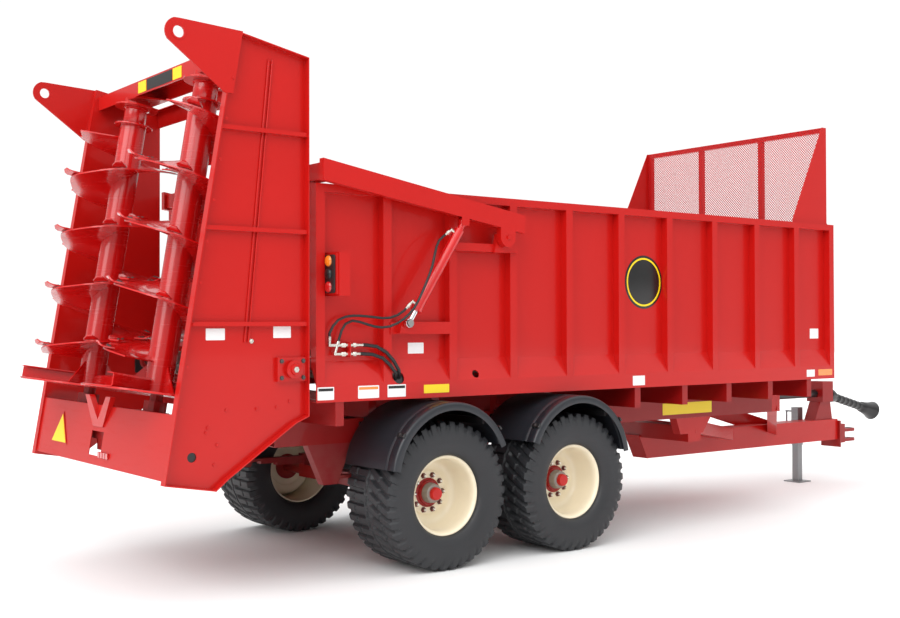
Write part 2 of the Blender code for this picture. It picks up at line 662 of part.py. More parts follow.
def suspension():
    """Hanger plates and leaf packs of one side, seated on the axles."""
    y = FRAME_RAIL_FACE - FRAME_RAIL_WIDTH / 2
    low, high = y - 0.040, y + 0.040
    top = FRAME_RAIL_BOTTOM_Z - GAP
    seat = HUB_Z + AXLE_SIZE / 2 + GAP
    middle = (REAR_AXLE_X + FRONT_AXLE_X) / 2
    reach = AXLE_SPREAD / 2
    eyes = [middle - 2 * reach, middle, middle + 2 * reach]
    pieces = []
    for x in eyes:
        pieces.append(prism([(x - 0.20, top), (x - 0.06, seat + 0.02), (x + 0.06, seat + 0.02),
                             (x + 0.20, top)], "Y", low, high))
    for x in (REAR_AXLE_X, FRONT_AXLE_X):
        for leaf, length in enumerate((reach - 0.01, reach - 0.16, reach - 0.32)):
            z = seat + 0.060 - leaf * 0.022
            pieces.append(box(x - length, x + length, low + 0.004, high - 0.004, z, z + 0.0225))
        pieces.append(box(x - 0.07, x + 0.07, low - 0.01, high + 0.01, seat, seat + 0.10))
    return fuse(*pieces)


def tyre_profile():
    """Closed (radius, along) outline of a tyre, along measured from its middle."""
    half = TYRE_WIDTH / 2
    bead = RIM_RADIUS + GAP
    crown = WHEEL_RADIUS
    return [
        (bead, -half * 0.80), (bead + 0.030, -half * 0.93), (bead + 0.100, -half),
        (crown - 0.060, -half * 0.99), (crown - 0.018, -half * 0.90), (crown, -half * 0.72),
        (crown, half * 0.72), (crown - 0.018, half * 0.90), (crown - 0.060, half * 0.99),
        (bead + 0.100, half), (bead + 0.030, half * 0.93), (bead, half * 0.80),
    ]


def rim_profile():
    """Closed (radius, along) outline of a dished rim with its hub, open side towards +along."""
    half = TYRE_WIDTH / 2 * 0.80
    hub = SPINDLE_RADIUS + 0.001
    disc = half - RIM_DISH_DEPTH
    return [
        (RIM_RADIUS, -half), (RIM_RADIUS, half), (RIM_RADIUS - 0.014, half),
        (RIM_RADIUS - 0.020, disc + 0.020), (0.170, disc + 0.012),
        (0.100, disc + 0.012), (0.095, disc + 0.130), (0.0, disc + 0.140),
        (0.0, disc + 0.120), (hub, disc + 0.119), (hub, disc - 0.10),
        (0.095, disc - 0.10), (0.100, disc), (RIM_RADIUS - 0.014, disc - 0.01),
        (RIM_RADIUS - 0.010, -half),
    ]


def build_wheels():
    rubber = material("rubber", (0.02, 0.02, 0.022), 0.85)
    cream = material("cream_paint", (0.80, 0.72, 0.52), 0.4)
    for row, x in (("rear", REAR_AXLE_X), ("front", FRONT_AXLE_X)):
        for side, sign in SIDES.items():
            centre = Vector((x, sign * TRACK / 2, HUB_Z))
            outward = (0, sign, 0)
            add(f"tyre_{row}_{side}", turned(tyre_profile(), centre, outward, WHEEL_SEGMENTS), rubber,
                origin=centre, smooth=True)
            add(f"rim_{row}_{side}", turned(rim_profile(), centre, outward, WHEEL_SEGMENTS), cream,
                origin=centre, smooth=True)


def build_fenders():
    """Two arched fenders on each side, carried from the frame rail by brackets."""
    plastic = material("fender_plastic", (0.035, 0.040, 0.050), 0.55)
    outer = TRACK / 2 + TYRE_WIDTH / 2 + FENDER_OVERHANG
    inner = FRAME_RAIL_FACE + 0.030
    lift = HUB_Z + FENDER_LIFT
    for side in SIDES:
        arches = []
        for x, start, end in ((REAR_AXLE_X, 172, 22), (FRONT_AXLE_X, 158, 8)):
            outline = arc((x, lift), FENDER_RADIUS, start, end, 8)
            outline += arc((x, lift), FENDER_RADIUS - FENDER_SHEET, end, start, 8)
            arches.append(prism(outline, "Y", inner, outer))
            lip = arc((x, lift), FENDER_RADIUS, start, end, 8)
            lip += arc((x, lift), FENDER_RADIUS - 0.040, end, start, 8)
            arches.append(prism(lip, "Y", outer - FENDER_SHEET, outer))
        tie = box(REAR_AXLE_X + 0.42, FRONT_AXLE_X - 0.42, FRAME_RAIL_FACE + GAP, inner + 0.006,
                  FRAME_RAIL_TOP_Z - 0.085, FRAME_RAIL_TOP_Z - 0.045)
        struts = []
        for x in (REAR_AXLE_X, FRONT_AXLE_X):
            struts.append(box(x - 0.40, x + 0.40, FRAME_RAIL_FACE + GAP, inner + 0.006,
                              FRAME_RAIL_TOP_Z - 0.045, FRAME_RAIL_TOP_Z - 0.005))
            for offset in (-0.34, 0.34):
                struts.append(box(x + offset - 0.02, x + offset + 0.02, FRAME_RAIL_FACE + 0.003,
                                  outer - 0.06, FRAME_RAIL_TOP_Z - 0.040, FRAME_RAIL_TOP_Z + 0.010))
        add(f"fenders_{side}", on_side(fuse(*arches, tie, *struts), side), plastic)


# ---------------------------------------------------------------- beater housing
def housing_outline():
    """The side plate's outline, as (x, z), from the rear bottom corner round."""
    return [
        (HOUSING_BOTTOM_X, HOUSING_BOTTOM_Z), (-0.796, 0.748), (-0.705, 0.822),
        (-0.192, 1.166), (HOUSING_FRONT_X, 1.211), (HOUSING_FRONT_X, 3.716),
        (HOUSING_TOP_X, HOUSING_TOP_Z)]


def inset(outline, distance):
    """A closed outline moved inwards by a distance; it runs anticlockwise."""
    points = [Vector(point) for point in outline]
    area = sum(a.x * b.y - b.x * a.y for a, b in zip(points, points[1:] + points[:1]))
    turn = 1 if area > 0 else -1
    result = []
    for index, point in enumerate(points):
        before = (point - points[index - 1]).normalized()
        after = (points[(index + 1) % len(points)] - point).normalized()
        normal_in = Vector((-before.y, before.x)) * turn
        normal_out = Vector((-after.y, after.x)) * turn
        mitre = (normal_in + normal_out).normalized()
        result.append(tuple(point + mitre * (distance / mitre.dot(normal_out))))
    return result


def rear_edge_x(z):
    return HOUSING_BOTTOM_X + math.tan(LEAN) * (z - HOUSING_BOTTOM_Z)


def lifting_eye():
    """The plate with a hole that stands out behind the housing's top corner."""
    centre = (-1.066, 3.755)
    outline = [(HOUSING_TOP_X + 0.05, HOUSING_TOP_Z), (-1.060, 3.845)]
    outline += arc(centre, 0.095, 110, 215, 8)
    outline += [(rear_edge_x(3.397) - 0.01, 3.397), (rear_edge_x(3.397) + 0.05, 3.397)]
    plate = prism(outline, "Y", HALF_HOUSING - 0.012, HALF_HOUSING)
    hole = rod((centre[0], HALF_HOUSING - 0.1, centre[1]), (centre[0], HALF_HOUSING + 0.1, centre[1]),
               0.040, 20)
    return cut(plate, hole)


def build_housing():
    paint = material("red_paint", PAINT, 0.35)
    for side in SIDES:
        panel = prism(housing_outline(), "Y", PANEL_INNER, PANEL_INNER + HOUSING_SHEET)
        ring = prism(housing_outline(), "Y", PANEL_INNER + 0.002, HALF_HOUSING)
        hollow = prism(inset(housing_outline(), HOUSING_SHEET), "Y", PANEL_INNER - 0.1, HALF_HOUSING + 0.1)
        panel = fuse(panel, cut(ring, hollow))
        ribs = []
        for z in (1.870, 2.510, 3.190):
            ribs.append(box(rear_edge_x(z) + 0.003, HOUSING_FRONT_X - 0.003, PANEL_INNER + 0.003,
                            HALF_HOUSING - 0.015, z - 0.030, z))
        bearing = box(APRON_REAR_X - 0.117, APRON_REAR_X + 0.117, PANEL_INNER + 0.003,
                      PANEL_INNER + 0.040, APRON_SHAFT_Z - 0.083, APRON_SHAFT_Z + 0.083)
        hub = rod((APRON_REAR_X, PANEL_INNER + 0.03, APRON_SHAFT_Z),
                  (APRON_REAR_X, HALF_HOUSING + 0.005, APRON_SHAFT_Z), 0.055, 20)
        hole = rod((-0.945, PANEL_INNER - 0.1, 0.978), (-0.945, HALF_HOUSING + 0.1, 0.978), 0.033, 16)
        plate = cut(fuse(panel, merged(ribs), lifting_eye(), bearing, hub), hole)
        add(f"housing_side_{side}", on_side(plate, side), paint)


def beater_axis_x(z):
    return BEATER_FOOT_X + math.tan(LEAN) * (z - BEATER_FOOT_Z)


def build_top_beam():
    """The hooded beam over the beaters with its bearing plates, and the front tie."""
    paint = material("red_paint", PAINT, 0.35)
    half = PANEL_INNER - GAP
    z0, z1 = 3.650, 3.762
    outline = sheet([(HOUSING_TOP_X + 0.020, z0), (HOUSING_TOP_X + 0.020, z1),
                     (HOUSING_TOP_X + 0.300, z1), (HOUSING_TOP_X + 0.300, z0)], -0.008)
    hood = prism(outline, "Y", -half, half)
    plates = []
    for sign in (-1, 1):
        y = sign * BEATER_OFFSET
        top = Vector((beater_axis_x(z0 + 0.004), y, z0 + 0.004))
        plates.append(box(HOUSING_TOP_X + 0.022, HOUSING_TOP_X + 0.298, y - 0.19, y + 0.19,
                          z0 - 0.006, z0 + 0.006))
        foot = Vector((BEATER_FOOT_X, y, BEATER_FOOT_Z))
        stub_end = foot + BEATER_AXIS * (BEATER_LENGTH + GAP)
        plates.append(rod(top - BEATER_AXIS * 0.060, top, 0.100, ROUND_SEGMENTS))
        plates.append(rod(top - BEATER_AXIS * 0.070, top - BEATER_AXIS * 0.056, 0.170, 16))
        plates.append(rod(stub_end, top - BEATER_AXIS * 0.050, 0.040, ROUND_SEGMENTS))
    add("top_beam", fuse(hood, *plates), paint)
    tie = prism(sheet([(HOUSING_FRONT_X - 0.010, 3.550), (HOUSING_FRONT_X - 0.010, 3.700),
                       (HOUSING_FRONT_X - 0.075, 3.690)], 0.006), "Y", -half, half)
    add("top_front_tie", tie, paint)


def build_rear_panel():
    """The sloped panel under the discs, with its centre bracket."""
    paint = material("red_paint", PAINT, 0.35)
    half = PANEL_INNER - GAP
    top_z, bottom_z = 1.262, 0.835
    lower = (rear_edge_x(bottom_z) + 0.012, bottom_z)
    upper = (rear_edge_x(top_z) + 0.012, top_z)
    outline = sheet([(lower[0] + 0.090, bottom_z - 0.012), lower, upper,
                     (upper[0] + 0.014, top_z + 0.002)], -0.006)
    panel = prism(outline, "Y", -half, half)
    window = box(-1.4, -0.9, -0.115, 0.115, 0.900, 1.075)
    panel = cut(panel, window)
    bracket = prism([(-0.245, 1.335), (-0.160, 1.335), (0.0, 1.160), (0.160, 1.335), (0.245, 1.335),
                     (0.095, 1.110), (-0.095, 1.110)], "X", upper[0] - 0.035, upper[0] + 0.006)
    add("rear_panel", fuse(panel, bracket), paint)


def build_gearcase():
    """The cross beam low in the housing with a gearbox under each beater."""
    paint = material("gearcase_paint", DARK_PAINT, 0.45)
    half = PANEL_INNER - GAP
    z0, z1 = 1.010, 1.150
    x = beater_axis_x(1.08)
    pieces = [box(x - 0.09, x + 0.09, -half, half, z0, z1)]
    top_z = BEATER_FOOT_Z - DISC_SHEET / math.cos(LEAN)
    for sign in (-1, 1):
        y = sign * BEATER_OFFSET
        top = Vector((beater_axis_x(top_z), y, top_z))
        pieces.append(rod(top - BEATER_AXIS * 0.330, top - BEATER_AXIS * 0.115, 0.105, ROUND_SEGMENTS))
        pieces.append(rod(top - BEATER_AXIS * 0.130, top - BEATER_AXIS * 0.045, 0.080, ROUND_SEGMENTS))
        pieces.append(rod(top - BEATER_AXIS * 0.060, top - BEATER_AXIS * GAP, 0.045, ROUND_SEGMENTS))
    pieces.append(box(x - 0.085, x + 0.160, -0.14, 0.14, 0.930, 1.200))
    add("gearcase", fuse(*pieces), paint)
    front = box(-0.170, -0.100, -half, half, 1.195, 1.330)
    add("rear_cross_member", front, paint)


# ------------------------------------------------------------------------ beaters
def helix(direction, z0, z1):
    """A flat helical flight round the local Z axis."""
    steps_per_turn = 12
    turns = (z1 - z0) / FLIGHT_PITCH
    steps = int(turns * steps_per_turn)
    inner = BEATER_TUBE_RADIUS - 0.012
    mesh = bmesh.new()
    rows = []
    for index in range(steps + 1):
        angle = FLIGHT_PHASE + direction * 2 * math.pi * index / steps_per_turn
        z = z0 + FLIGHT_PITCH * index / steps_per_turn
        cosine, sine = math.cos(angle), math.sin(angle)
        row = []
        for radius, rise in ((inner, 0.0), (FLIGHT_RADIUS, 0.0),
                             (FLIGHT_RADIUS, FLIGHT_SHEET), (inner, FLIGHT_SHEET)):
            row.append(mesh.verts.new((radius * cosine, radius * sine, z + rise)))
        rows.append(row)
    for here, there in zip(rows, rows[1:]):
        for k in range(4):
            n = (k + 1) % 4
            mesh.faces.new((here[k], here[n], there[n], there[k]))
    mesh.faces.new(rows[0])
    mesh.faces.new(rows[-1][::-1])
    bmesh.ops.triangulate(mesh, faces=mesh.faces)
    bmesh.ops.recalc_face_normals(mesh, faces=mesh.faces)
    return mesh


def tooth(direction, z0, index):
    """A cutting tooth bolted on the flight's edge."""
    turn = (index + 0.5) / TEETH_PER_TURN
    angle = FLIGHT_PHASE + direction * 2 * math.pi * turn
    z = z0 + FLIGHT_PITCH * turn
    length = TOOTH_REACH - FLIGHT_RADIUS + 0.050
    outline = [(TOOTH_REACH - length, -0.055), (TOOTH_REACH - 0.020, -0.055), (TOOTH_REACH, -0.020),
               (TOOTH_REACH, 0.020), (TOOTH_REACH - length, 0.055)]
    mesh = prism(outline, "Z", FLIGHT_SHEET - 0.002, FLIGHT_SHEET + 0.012)
    slope = math.atan(FLIGHT_PITCH / (2 * math.pi * FLIGHT_RADIUS)) * direction
    place = (Matrix.Translation((0, 0, z)) @ Matrix.Rotation(angle, 4, "Z")
             @ Matrix.Rotation(slope, 4, "X"))
    return moved(mesh, place)


def paddle(index):
    """A C-section throwing paddle standing on the disc."""
    angle = math.radians(148) + 2 * math.pi * index / PADDLES
    outline = sheet([(PADDLE_WIDTH, 0.0), (0.0, 0.0), (0.0, PADDLE_HEIGHT),
                     (PADDLE_WIDTH, PADDLE_HEIGHT)], -0.008)
    mesh = prism(outline, "X", BEATER_TUBE_RADIUS - 0.010, DISC_RADIUS + 0.012)
    return moved(mesh, Matrix.Rotation(angle, 4, "Z") @ Matrix.Translation((0, 0, -0.002)))


def base_gusset(index):
    angle = math.radians(148 + 60) + 2 * math.pi * index / PADDLES
    outline = [(BEATER_TUBE_RADIUS - 0.01, -0.003), (BEATER_TUBE_RADIUS + 0.16, -0.003),
               (BEATER_TUBE_RADIUS - 0.01, 0.19)]
    return moved(prism(outline, "Y", -0.005, 0.005), Matrix.Rotation(angle, 4, "Z"))


def beater(side):
    """One beater in its own frame: local Z is its axis and z = 0 the disc's top face."""
    direction = 1
    tube = rod((0, 0, -0.004), (0, 0, BEATER_LENGTH), BEATER_TUBE_RADIUS, 16)
    disc = rod((0, 0, -DISC_SHEET), (0, 0, 0), DISC_RADIUS, 32)
    cap = rod((0, 0, BEATER_LENGTH - 0.022), (0, 0, BEATER_LENGTH - 0.010), 0.150, ROUND_SEGMENTS)
    z0, z1 = 0.215, BEATER_LENGTH - 0.110
    count = int((z1 - z0) / FLIGHT_PITCH * TEETH_PER_TURN)
    flight = fuse(helix(direction, z0, z1), merged([tooth(direction, z0, i) for i in range(count)]))
    base = fuse(disc, tube, merged([paddle(i) for i in range(PADDLES)]),
                merged([base_gusset(i) for i in range(PADDLES)]))
    return on_side(fuse(base, cap, flight), side)


def build_beaters():
    paint = material("beater_paint", PAINT, 0.35)
    turn = Matrix.Rotation(LEAN, 4, "Y")
    for side, sign in SIDES.items():
        foot = Vector((BEATER_FOOT_X, sign * BEATER_OFFSET, BEATER_FOOT_Z))
        mesh = moved(beater(side), Matrix.Translation(foot) @ turn)
        add(f"beater_{side}", mesh, paint, origin=foot, smooth=True, rotation=turn)


# ----------------------------------------------------------------------- endgate
def gate_arm():
    """One lift arm: a deep channel from the pivot back to the gate's beam."""
    arm = prism([(-0.012, 2.862), (1.842, 2.566), (1.854, 2.708), (-0.012, 3.015)],
                "Y", ARM_INNER, ARM_OUTER)
    hole = rod((GATE_PIVOT_X, ARM_INNER - 0.1, GATE_PIVOT_Z), (GATE_PIVOT_X, ARM_OUTER + 0.1, GATE_PIVOT_Z),
               PIN_RADIUS + 0.0005)
    boss = rod((GATE_PIVOT_X, ARM_INNER, GATE_PIVOT_Z), (GATE_PIVOT_X, ARM_OUTER, GATE_PIVOT_Z), 0.075, 20)
    link = box(GATE_PIVOT_X - 0.075, GATE_PIVOT_X + 0.075, ARM_INNER, ARM_OUTER,
               GATE_PIVOT_Z, GATE_PIVOT_Z + 0.09)
    lugs = box(CYLINDER_TOP_X - 0.035, CYLINDER_TOP_X + 0.035, ARM_INNER, ARM_OUTER,
               CYLINDER_TOP_Z - 0.028, CYLINDER_TOP_Z + 0.080)
    slot = box(CYLINDER_TOP_X - 0.075, CYLINDER_TOP_X + 0.075, ARM_MIDDLE - 0.0215, ARM_MIDDLE + 0.0215,
               CYLINDER_TOP_Z - 0.20, CYLINDER_TOP_Z + 0.060)
    pin = rod((CYLINDER_TOP_X, ARM_INNER + 0.001, CYLINDER_TOP_Z),
              (CYLINDER_TOP_X, ARM_OUTER - 0.001, CYLINDER_TOP_Z), PIN_RADIUS)
    arm = cut(fuse(arm, boss, link, lugs), slot, hole)
    return fuse(arm, pin)


def build_endgate():
    """The gate panel, its top beam across the box and both arms, one welded piece."""
    paint = material("red_paint", PAINT, 0.35)
    half = WALL_INNER - CLEARANCE
    z0 = FLOOR_Z + SLAT_HEIGHT + 0.020
    panel = box(GATE_PANEL_X - 0.020, GATE_PANEL_X - 0.014, -half, half, z0, BOX_TOP_Z + 0.03)
    stiff = merged([box(GATE_PANEL_X - 0.015, GATE_PANEL_X + 0.020, -half, half, z, z + 0.060)
                    for z in (z0, 2.05, 2.45)])
    top = box(GATE_PANEL_X - 0.045, GATE_PANEL_X + 0.065, -(ARM_INNER + 0.004), ARM_INNER + 0.004,
              BOX_TOP_Z + 0.020, BOX_TOP_Z + 0.140)
    gate = fuse(panel, stiff, top)
    for side in SIDES:
        gate = fuse(gate, on_side(gate_arm(), side))
    add("endgate", gate, paint, origin=(GATE_PIVOT_X, 0, GATE_PIVOT_Z))


def port_points(name, y):
    """A cylinder port: its foot in the barrel's wall, its boss's end and its elbow's mouth."""
    along = UPPER_PORT if name == "hose_cylinder_high" else LOWER_PORT
    axis = Vector((CYLINDER_TOP_X, y, CYLINDER_TOP_Z)) + CYLINDER_ALONG * along
    boss_end = axis + CYLINDER_PORT_SIDE * PORT_REACH
    elbow = Vector(PORT_ELBOWS[name])
    return axis + CYLINDER_PORT_SIDE * (ROD_RADIUS + 0.012), boss_end, boss_end + elbow


PORT_ELBOWS = {
    "hose_cylinder_high": (-0.060, 0.0, -0.040),
    "hose_cylinder_low": (-0.060, 0.0, -0.054),
}


def build_cylinders():
    paint = material("cylinder_paint", PAINT, 0.35)
    chrome = material("chrome", (0.7, 0.7, 0.72), 0.12, 1.0)
    for side, sign in SIDES.items():
        y = sign * ARM_MIDDLE
        top = Vector((CYLINDER_TOP_X, y, CYLINDER_TOP_Z))
        foot = Vector((CYLINDER_FOOT_X, y, CYLINDER_FOOT_Z))
        along = CYLINDER_ALONG
        across = Vector((0, 1, 0))
        eye = rod(top - across * EYE_HALF_WIDTH, top + across * EYE_HALF_WIDTH, 0.036, ROUND_SEGMENTS)
        neck = beam(top + along * 0.015, top + along * 0.085, 0.036, 0.050, up=(0, 0, 1))
        barrel = rod(top + along * 0.075, top + along * BARREL_LENGTH, BARREL_RADIUS, ROUND_SEGMENTS)
        gland = rod(top + along * (BARREL_LENGTH - 0.04), top + along * (BARREL_LENGTH + 0.005),
                    BARREL_RADIUS + 0.004, ROUND_SEGMENTS)
        bore = rod(top + along * 0.300, top + along * (BARREL_LENGTH + 0.1),
                   ROD_RADIUS + 0.0005, ROUND_SEGMENTS)
        hole = rod(top - across * 0.1, top + across * 0.1, PIN_RADIUS + 0.0005, 16)
        ports = []
        for name in ("hose_cylinder_high", "hose_cylinder_low"):
            base, boss_end, mouth = port_points(name, y)
            ports.append(rod(base, boss_end + CYLINDER_PORT_SIDE * PORT_RADIUS, PORT_RADIUS, 10))
            ports.append(rod(boss_end, mouth, PORT_RADIUS, 10))
        body = cut(fuse(eye, neck, barrel, gland, *ports), bore, hole)
        add(f"gate_cylinder_{side}", body, paint, origin=top, smooth=True)
        stem = rod(top + along * 0.320, foot - along * 0.020, ROD_RADIUS, ROUND_SEGMENTS)
        foot_eye = rod(foot - across * EYE_HALF_WIDTH, foot + across * EYE_HALF_WIDTH,
                       0.034, ROUND_SEGMENTS)
        foot_hole = rod(foot - across * 0.1, foot + across * 0.1, PIN_RADIUS + 0.002, 16)
        add(f"gate_rod_{side}", cut(fuse(stem, foot_eye), foot_hole), chrome, origin=foot, smooth=True)


# ------------------------------------------------------------------ small pieces
def build_tail_lights():
    """The lamp boxes beside the housing, each with its lamp on the rear face."""
    paint = material("lamp_box_paint", PAINT, 0.35)
    for side in SIDES:
        case = box(0.105, 0.195, WALL_OUTER + GAP, HALF_BODY + 0.140, 2.052, 2.362)
        lamp = box(0.088, 0.106, HALF_BODY - 0.045, HALF_BODY + 0.130, 2.062, 2.352)
        add(f"tail_light_{side}", on_side(fuse(case, lamp), side), paint)


def build_driveline():
    """The shielded shaft under the box, its front bearing stand and the PTO drive."""
    black = material("guard_plastic", (0.015, 0.015, 0.016), 0.5)
    paint = material("stand_paint", DARK_PAINT, 0.45)
    z = DRIVELINE_Z
    rear_x = beater_axis_x(1.08) + 0.160 + GAP
    front_x = 7.500
    add("driveline_guard", rod((rear_x, 0, z), (front_x - GAP, 0, z), DRIVELINE_RADIUS, ROUND_SEGMENTS),
        black, smooth=True)
    gearbox = box(front_x, front_x + 0.200, -0.110, 0.110, 0.940, 1.175)
    stand = prism([(front_x + 0.010, 0.950), (front_x - 0.10, POLE_TOP_Z + GAP),
                   (front_x + 0.230, POLE_TOP_Z + GAP), (front_x + 0.190, 0.950)], "Y", -0.075, 0.075)
    along = (PTO_END - PTO_START).normalized()
    nose = rod(PTO_START - along * 0.130, PTO_START - along * (0.045 + GAP), 0.060, 20)
    add("pto_stand", fuse(gearbox, stand, nose), paint)
    guard = rod(PTO_START, PTO_END - along * 0.200, 0.048, 20)
    bell = rod(PTO_END - along * 0.230, PTO_END, 0.060, 24, end_radius=0.110)
    start_bell = rod(PTO_START - along * 0.045, PTO_START + along * 0.10, 0.085, 24, end_radius=0.055)
    hollow = rod(PTO_END - along * 0.190, PTO_END + along * 0.02, 0.052, 24, end_radius=0.104)
    add("pto_guard", cut(fuse(guard, bell, start_bell), hollow), black, smooth=True)
    steel = material("yoke_steel", (0.30, 0.29, 0.28), 0.4, 0.9)
    yoke = rod(PTO_END - along * (0.190 - GAP), PTO_END - along * 0.015, 0.036, 20)
    fork = beam(PTO_END - along * 0.05, PTO_END + along * 0.045, 0.085, 0.030)
    add("pto_yoke", fuse(yoke, fork), steel, origin=PTO_END - along * 0.10, smooth=True)


# --------------------------------------------------------------------- hydraulics
def smooth_route(points, spacing):
    """Points at an even spacing on a smooth curve through the route's own points."""
    ends = [points[0] * 2 - points[1]] + list(points) + [points[-1] * 2 - points[-2]]
    dense = [points[0]]
    for index in range(len(points) - 1):
        p0, p1, p2, p3 = ends[index:index + 4]
        for step in range(1, 25):
            t = step / 24
            dense.append(0.5 * (
                2 * p1 + (p2 - p0) * t + (2 * p0 - 5 * p1 + 4 * p2 - p3) * t ** 2
                + (3 * p1 - p0 - 3 * p2 + p3) * t ** 3))
    length = sum((b - a).length for a, b in zip(dense, dense[1:]))
    count = max(int(round(length / spacing)), 3)
    even = [dense[0]]
    travelled, index = 0.0, 0
    for step in range(1, count):
        target = length * step / count
        while travelled + (dense[index + 1] - dense[index]).length < target:
            travelled += (dense[index + 1] - dense[index]).length
            index += 1
        part = (target - travelled) / (dense[index + 1] - dense[index]).length
        even.append(dense[index].lerp(dense[index + 1], part))
    return even + [dense[-1]]


# Routes on a side wall as (x, out from the ribs' face, z), each from its fitting.
HOSES = {
    "hose_supply_upper": [(0.490, -0.020, 1.697), (0.550, 0.014, 1.671), (0.628, 0.024, 1.604),
                          (0.690, 0.024, 1.518), (0.726, -0.010, 1.470), (0.738, -0.060, 1.440),
                          (0.742, -0.110, 1.425)],
    "hose_supply_lower": [(0.480, -0.022, 1.633), (0.545, 0.012, 1.610), (0.600, 0.024, 1.566),
                          (0.662, 0.022, 1.500), (0.694, -0.012, 1.456), (0.704, -0.060, 1.425),
                          (0.706, -0.110, 1.410)],
    "hose_cylinder_low": [(0.140, -0.030, 1.812), (0.185, -0.022, 1.875), (0.260, 0.000, 1.909),
                          (0.355, 0.015, 1.913), (0.461, 0.030, 1.904), (0.552, 0.044, 1.895),
                          (0.610, 0.068, 1.904), (0.655, 0.088, 1.926)],
    "hose_cylinder_high": [(0.218, -0.030, 1.772), (0.241, -0.028, 1.832), (0.285, -0.020, 1.872),
                           (0.335, -0.005, 1.876), (0.406, 0.014, 1.855), (0.480, 0.032, 1.834),
                           (0.560, 0.064, 1.830), (0.634, 0.110, 1.865), (0.702, 0.146, 1.926),
                           (0.752, 0.158, 1.990), (0.796, 0.160, 2.064), (0.846, 0.160, 2.158),
                           (0.902, 0.158, 2.280), (0.944, 0.136, 2.380), (0.995, 0.107, 2.465)],
}
FITTING_MOUTHS = {
    "hose_supply_upper": (0.412, UPPER_FITTING_Z),
    "hose_supply_lower": (0.386, LOWER_FITTING_Z),
    "hose_cylinder_low": (0.128, 1.765),
    "hose_cylinder_high": (0.203, 1.730),
}
ELBOW_FEET = {"hose_cylinder_low": (0.128, UPPER_FITTING_Z), "hose_cylinder_high": (0.172, LOWER_FITTING_Z)}


def hose_points(name, sign):
    """A hose's points, from its fitting's mouth to the cylinder's port or into the strip's hole."""
    x, z = FITTING_MOUTHS[name]
    route = [Vector((x, FITTING_OUT, z))] + [Vector(point) for point in HOSES[name]]
    start = Vector((1, 0, 0))
    if name in ELBOW_FEET:
        foot_x, foot_z = ELBOW_FEET[name]
        start = Vector((x - foot_x, 0, z - foot_z)).normalized()
        base, boss_end, mouth = port_points(name, ARM_MIDDLE - HALF_BODY)
        leave = (mouth - boss_end).normalized()
        route.append(mouth + leave * (HOSE_LEAD + GAP))
        last = [mouth + leave * GAP]
    else:
        last = []
    first = route[0] + start * GAP
    route[0] = first + start * HOSE_LEAD
    radius = HOSE_RADIUS if name in ELBOW_FEET else SUPPLY_HOSE_RADIUS
    points = [first] + smooth_route(route, HOSE_POINT_SPACING * 2 * radius) + last
    return [Vector((p.x, sign * (HALF_BODY + p.y), p.z)) for p in points], radius


def build_hoses():
    """Flexible hoses between the fittings on the side wall and a gate cylinder."""
    rubber = material("hose_rubber", (0.012, 0.012, 0.013), 0.5)
    for side, sign in SIDES.items():
        for name in HOSES:
            points, radius = hose_points(name, sign)
            curve = bpy.data.curves.new(f"{name}_{side}", "CURVE")
            curve.dimensions = "3D"
            curve.bevel_depth = radius
            curve.bevel_resolution = 2
            curve.use_fill_caps = True
            spline = curve.splines.new("POLY")
            spline.points.add(len(points) - 1)
            for target, point in zip(spline.points, points):
                target.co = (*point, 1.0)
            curve.materials.append(rubber)
            made = bpy.data.objects.new(f"{name}_{side}", curve)
            made.parent = bpy.data.objects["spreader"]
            bpy.context.collection.objects.link(made)


def build_hose_fittings():
    """The two pipes with elbows that a plate holds off each side wall."""
    steel = material("fitting_steel", (0.55, 0.54, 0.50), 0.35, 0.9)
    y = HALF_BODY + FITTING_OUT
    for side in SIDES:
        pieces = [box(0.288, 0.300, WALL_OUTER + GAP, y + 0.018, LOWER_FITTING_Z - 0.022,
                      UPPER_FITTING_Z + 0.022)]
        for supply, feed in (("hose_supply_upper", "hose_cylinder_low"),
                             ("hose_supply_lower", "hose_cylinder_high")):
            foot_x, foot_z = ELBOW_FEET[feed]
            mouth_x, mouth_z = FITTING_MOUTHS[feed]
            end_x, end_z = FITTING_MOUTHS[supply]
            pieces.append(rod((foot_x - 0.010, y, foot_z), (end_x, y, end_z), 0.012, 8))
            pieces.append(rod((foot_x, y, foot_z), (mouth_x, y, mouth_z), 0.0105, 8))
            pieces.append(rod((0.225, y, foot_z), (0.265, y, foot_z), 0.017, 6))
            pieces.append(rod((0.325, y, foot_z), (0.350, y, foot_z), 0.017, 6))
        add(f"hose_fittings_{side}", on_side(fuse(*pieces), side), steel)


# ------------------------------------------------------------------------ assembly
def centre_on_ground():
    """Move the whole machine so that the origin lies on the ground under its middle."""
    frame = bpy.data.objects["spreader"]
    bpy.context.view_layer.update()
    graph = bpy.context.evaluated_depsgraph_get()
    low, high = Vector((1e9, 1e9, 1e9)), Vector((-1e9, -1e9, -1e9))
    for item in frame.children:
        seen = item.evaluated_get(graph)
        mesh = seen.to_mesh()
        for vert in mesh.vertices:
            point = seen.matrix_world @ vert.co
            low = Vector(map(min, low, point))
            high = Vector(map(max, high, point))
        seen.to_mesh_clear()
    frame.location = (-(low.x + high.x) / 2, -(low.y + high.y) / 2, -low.z)
    bpy.context.view_layer.update()


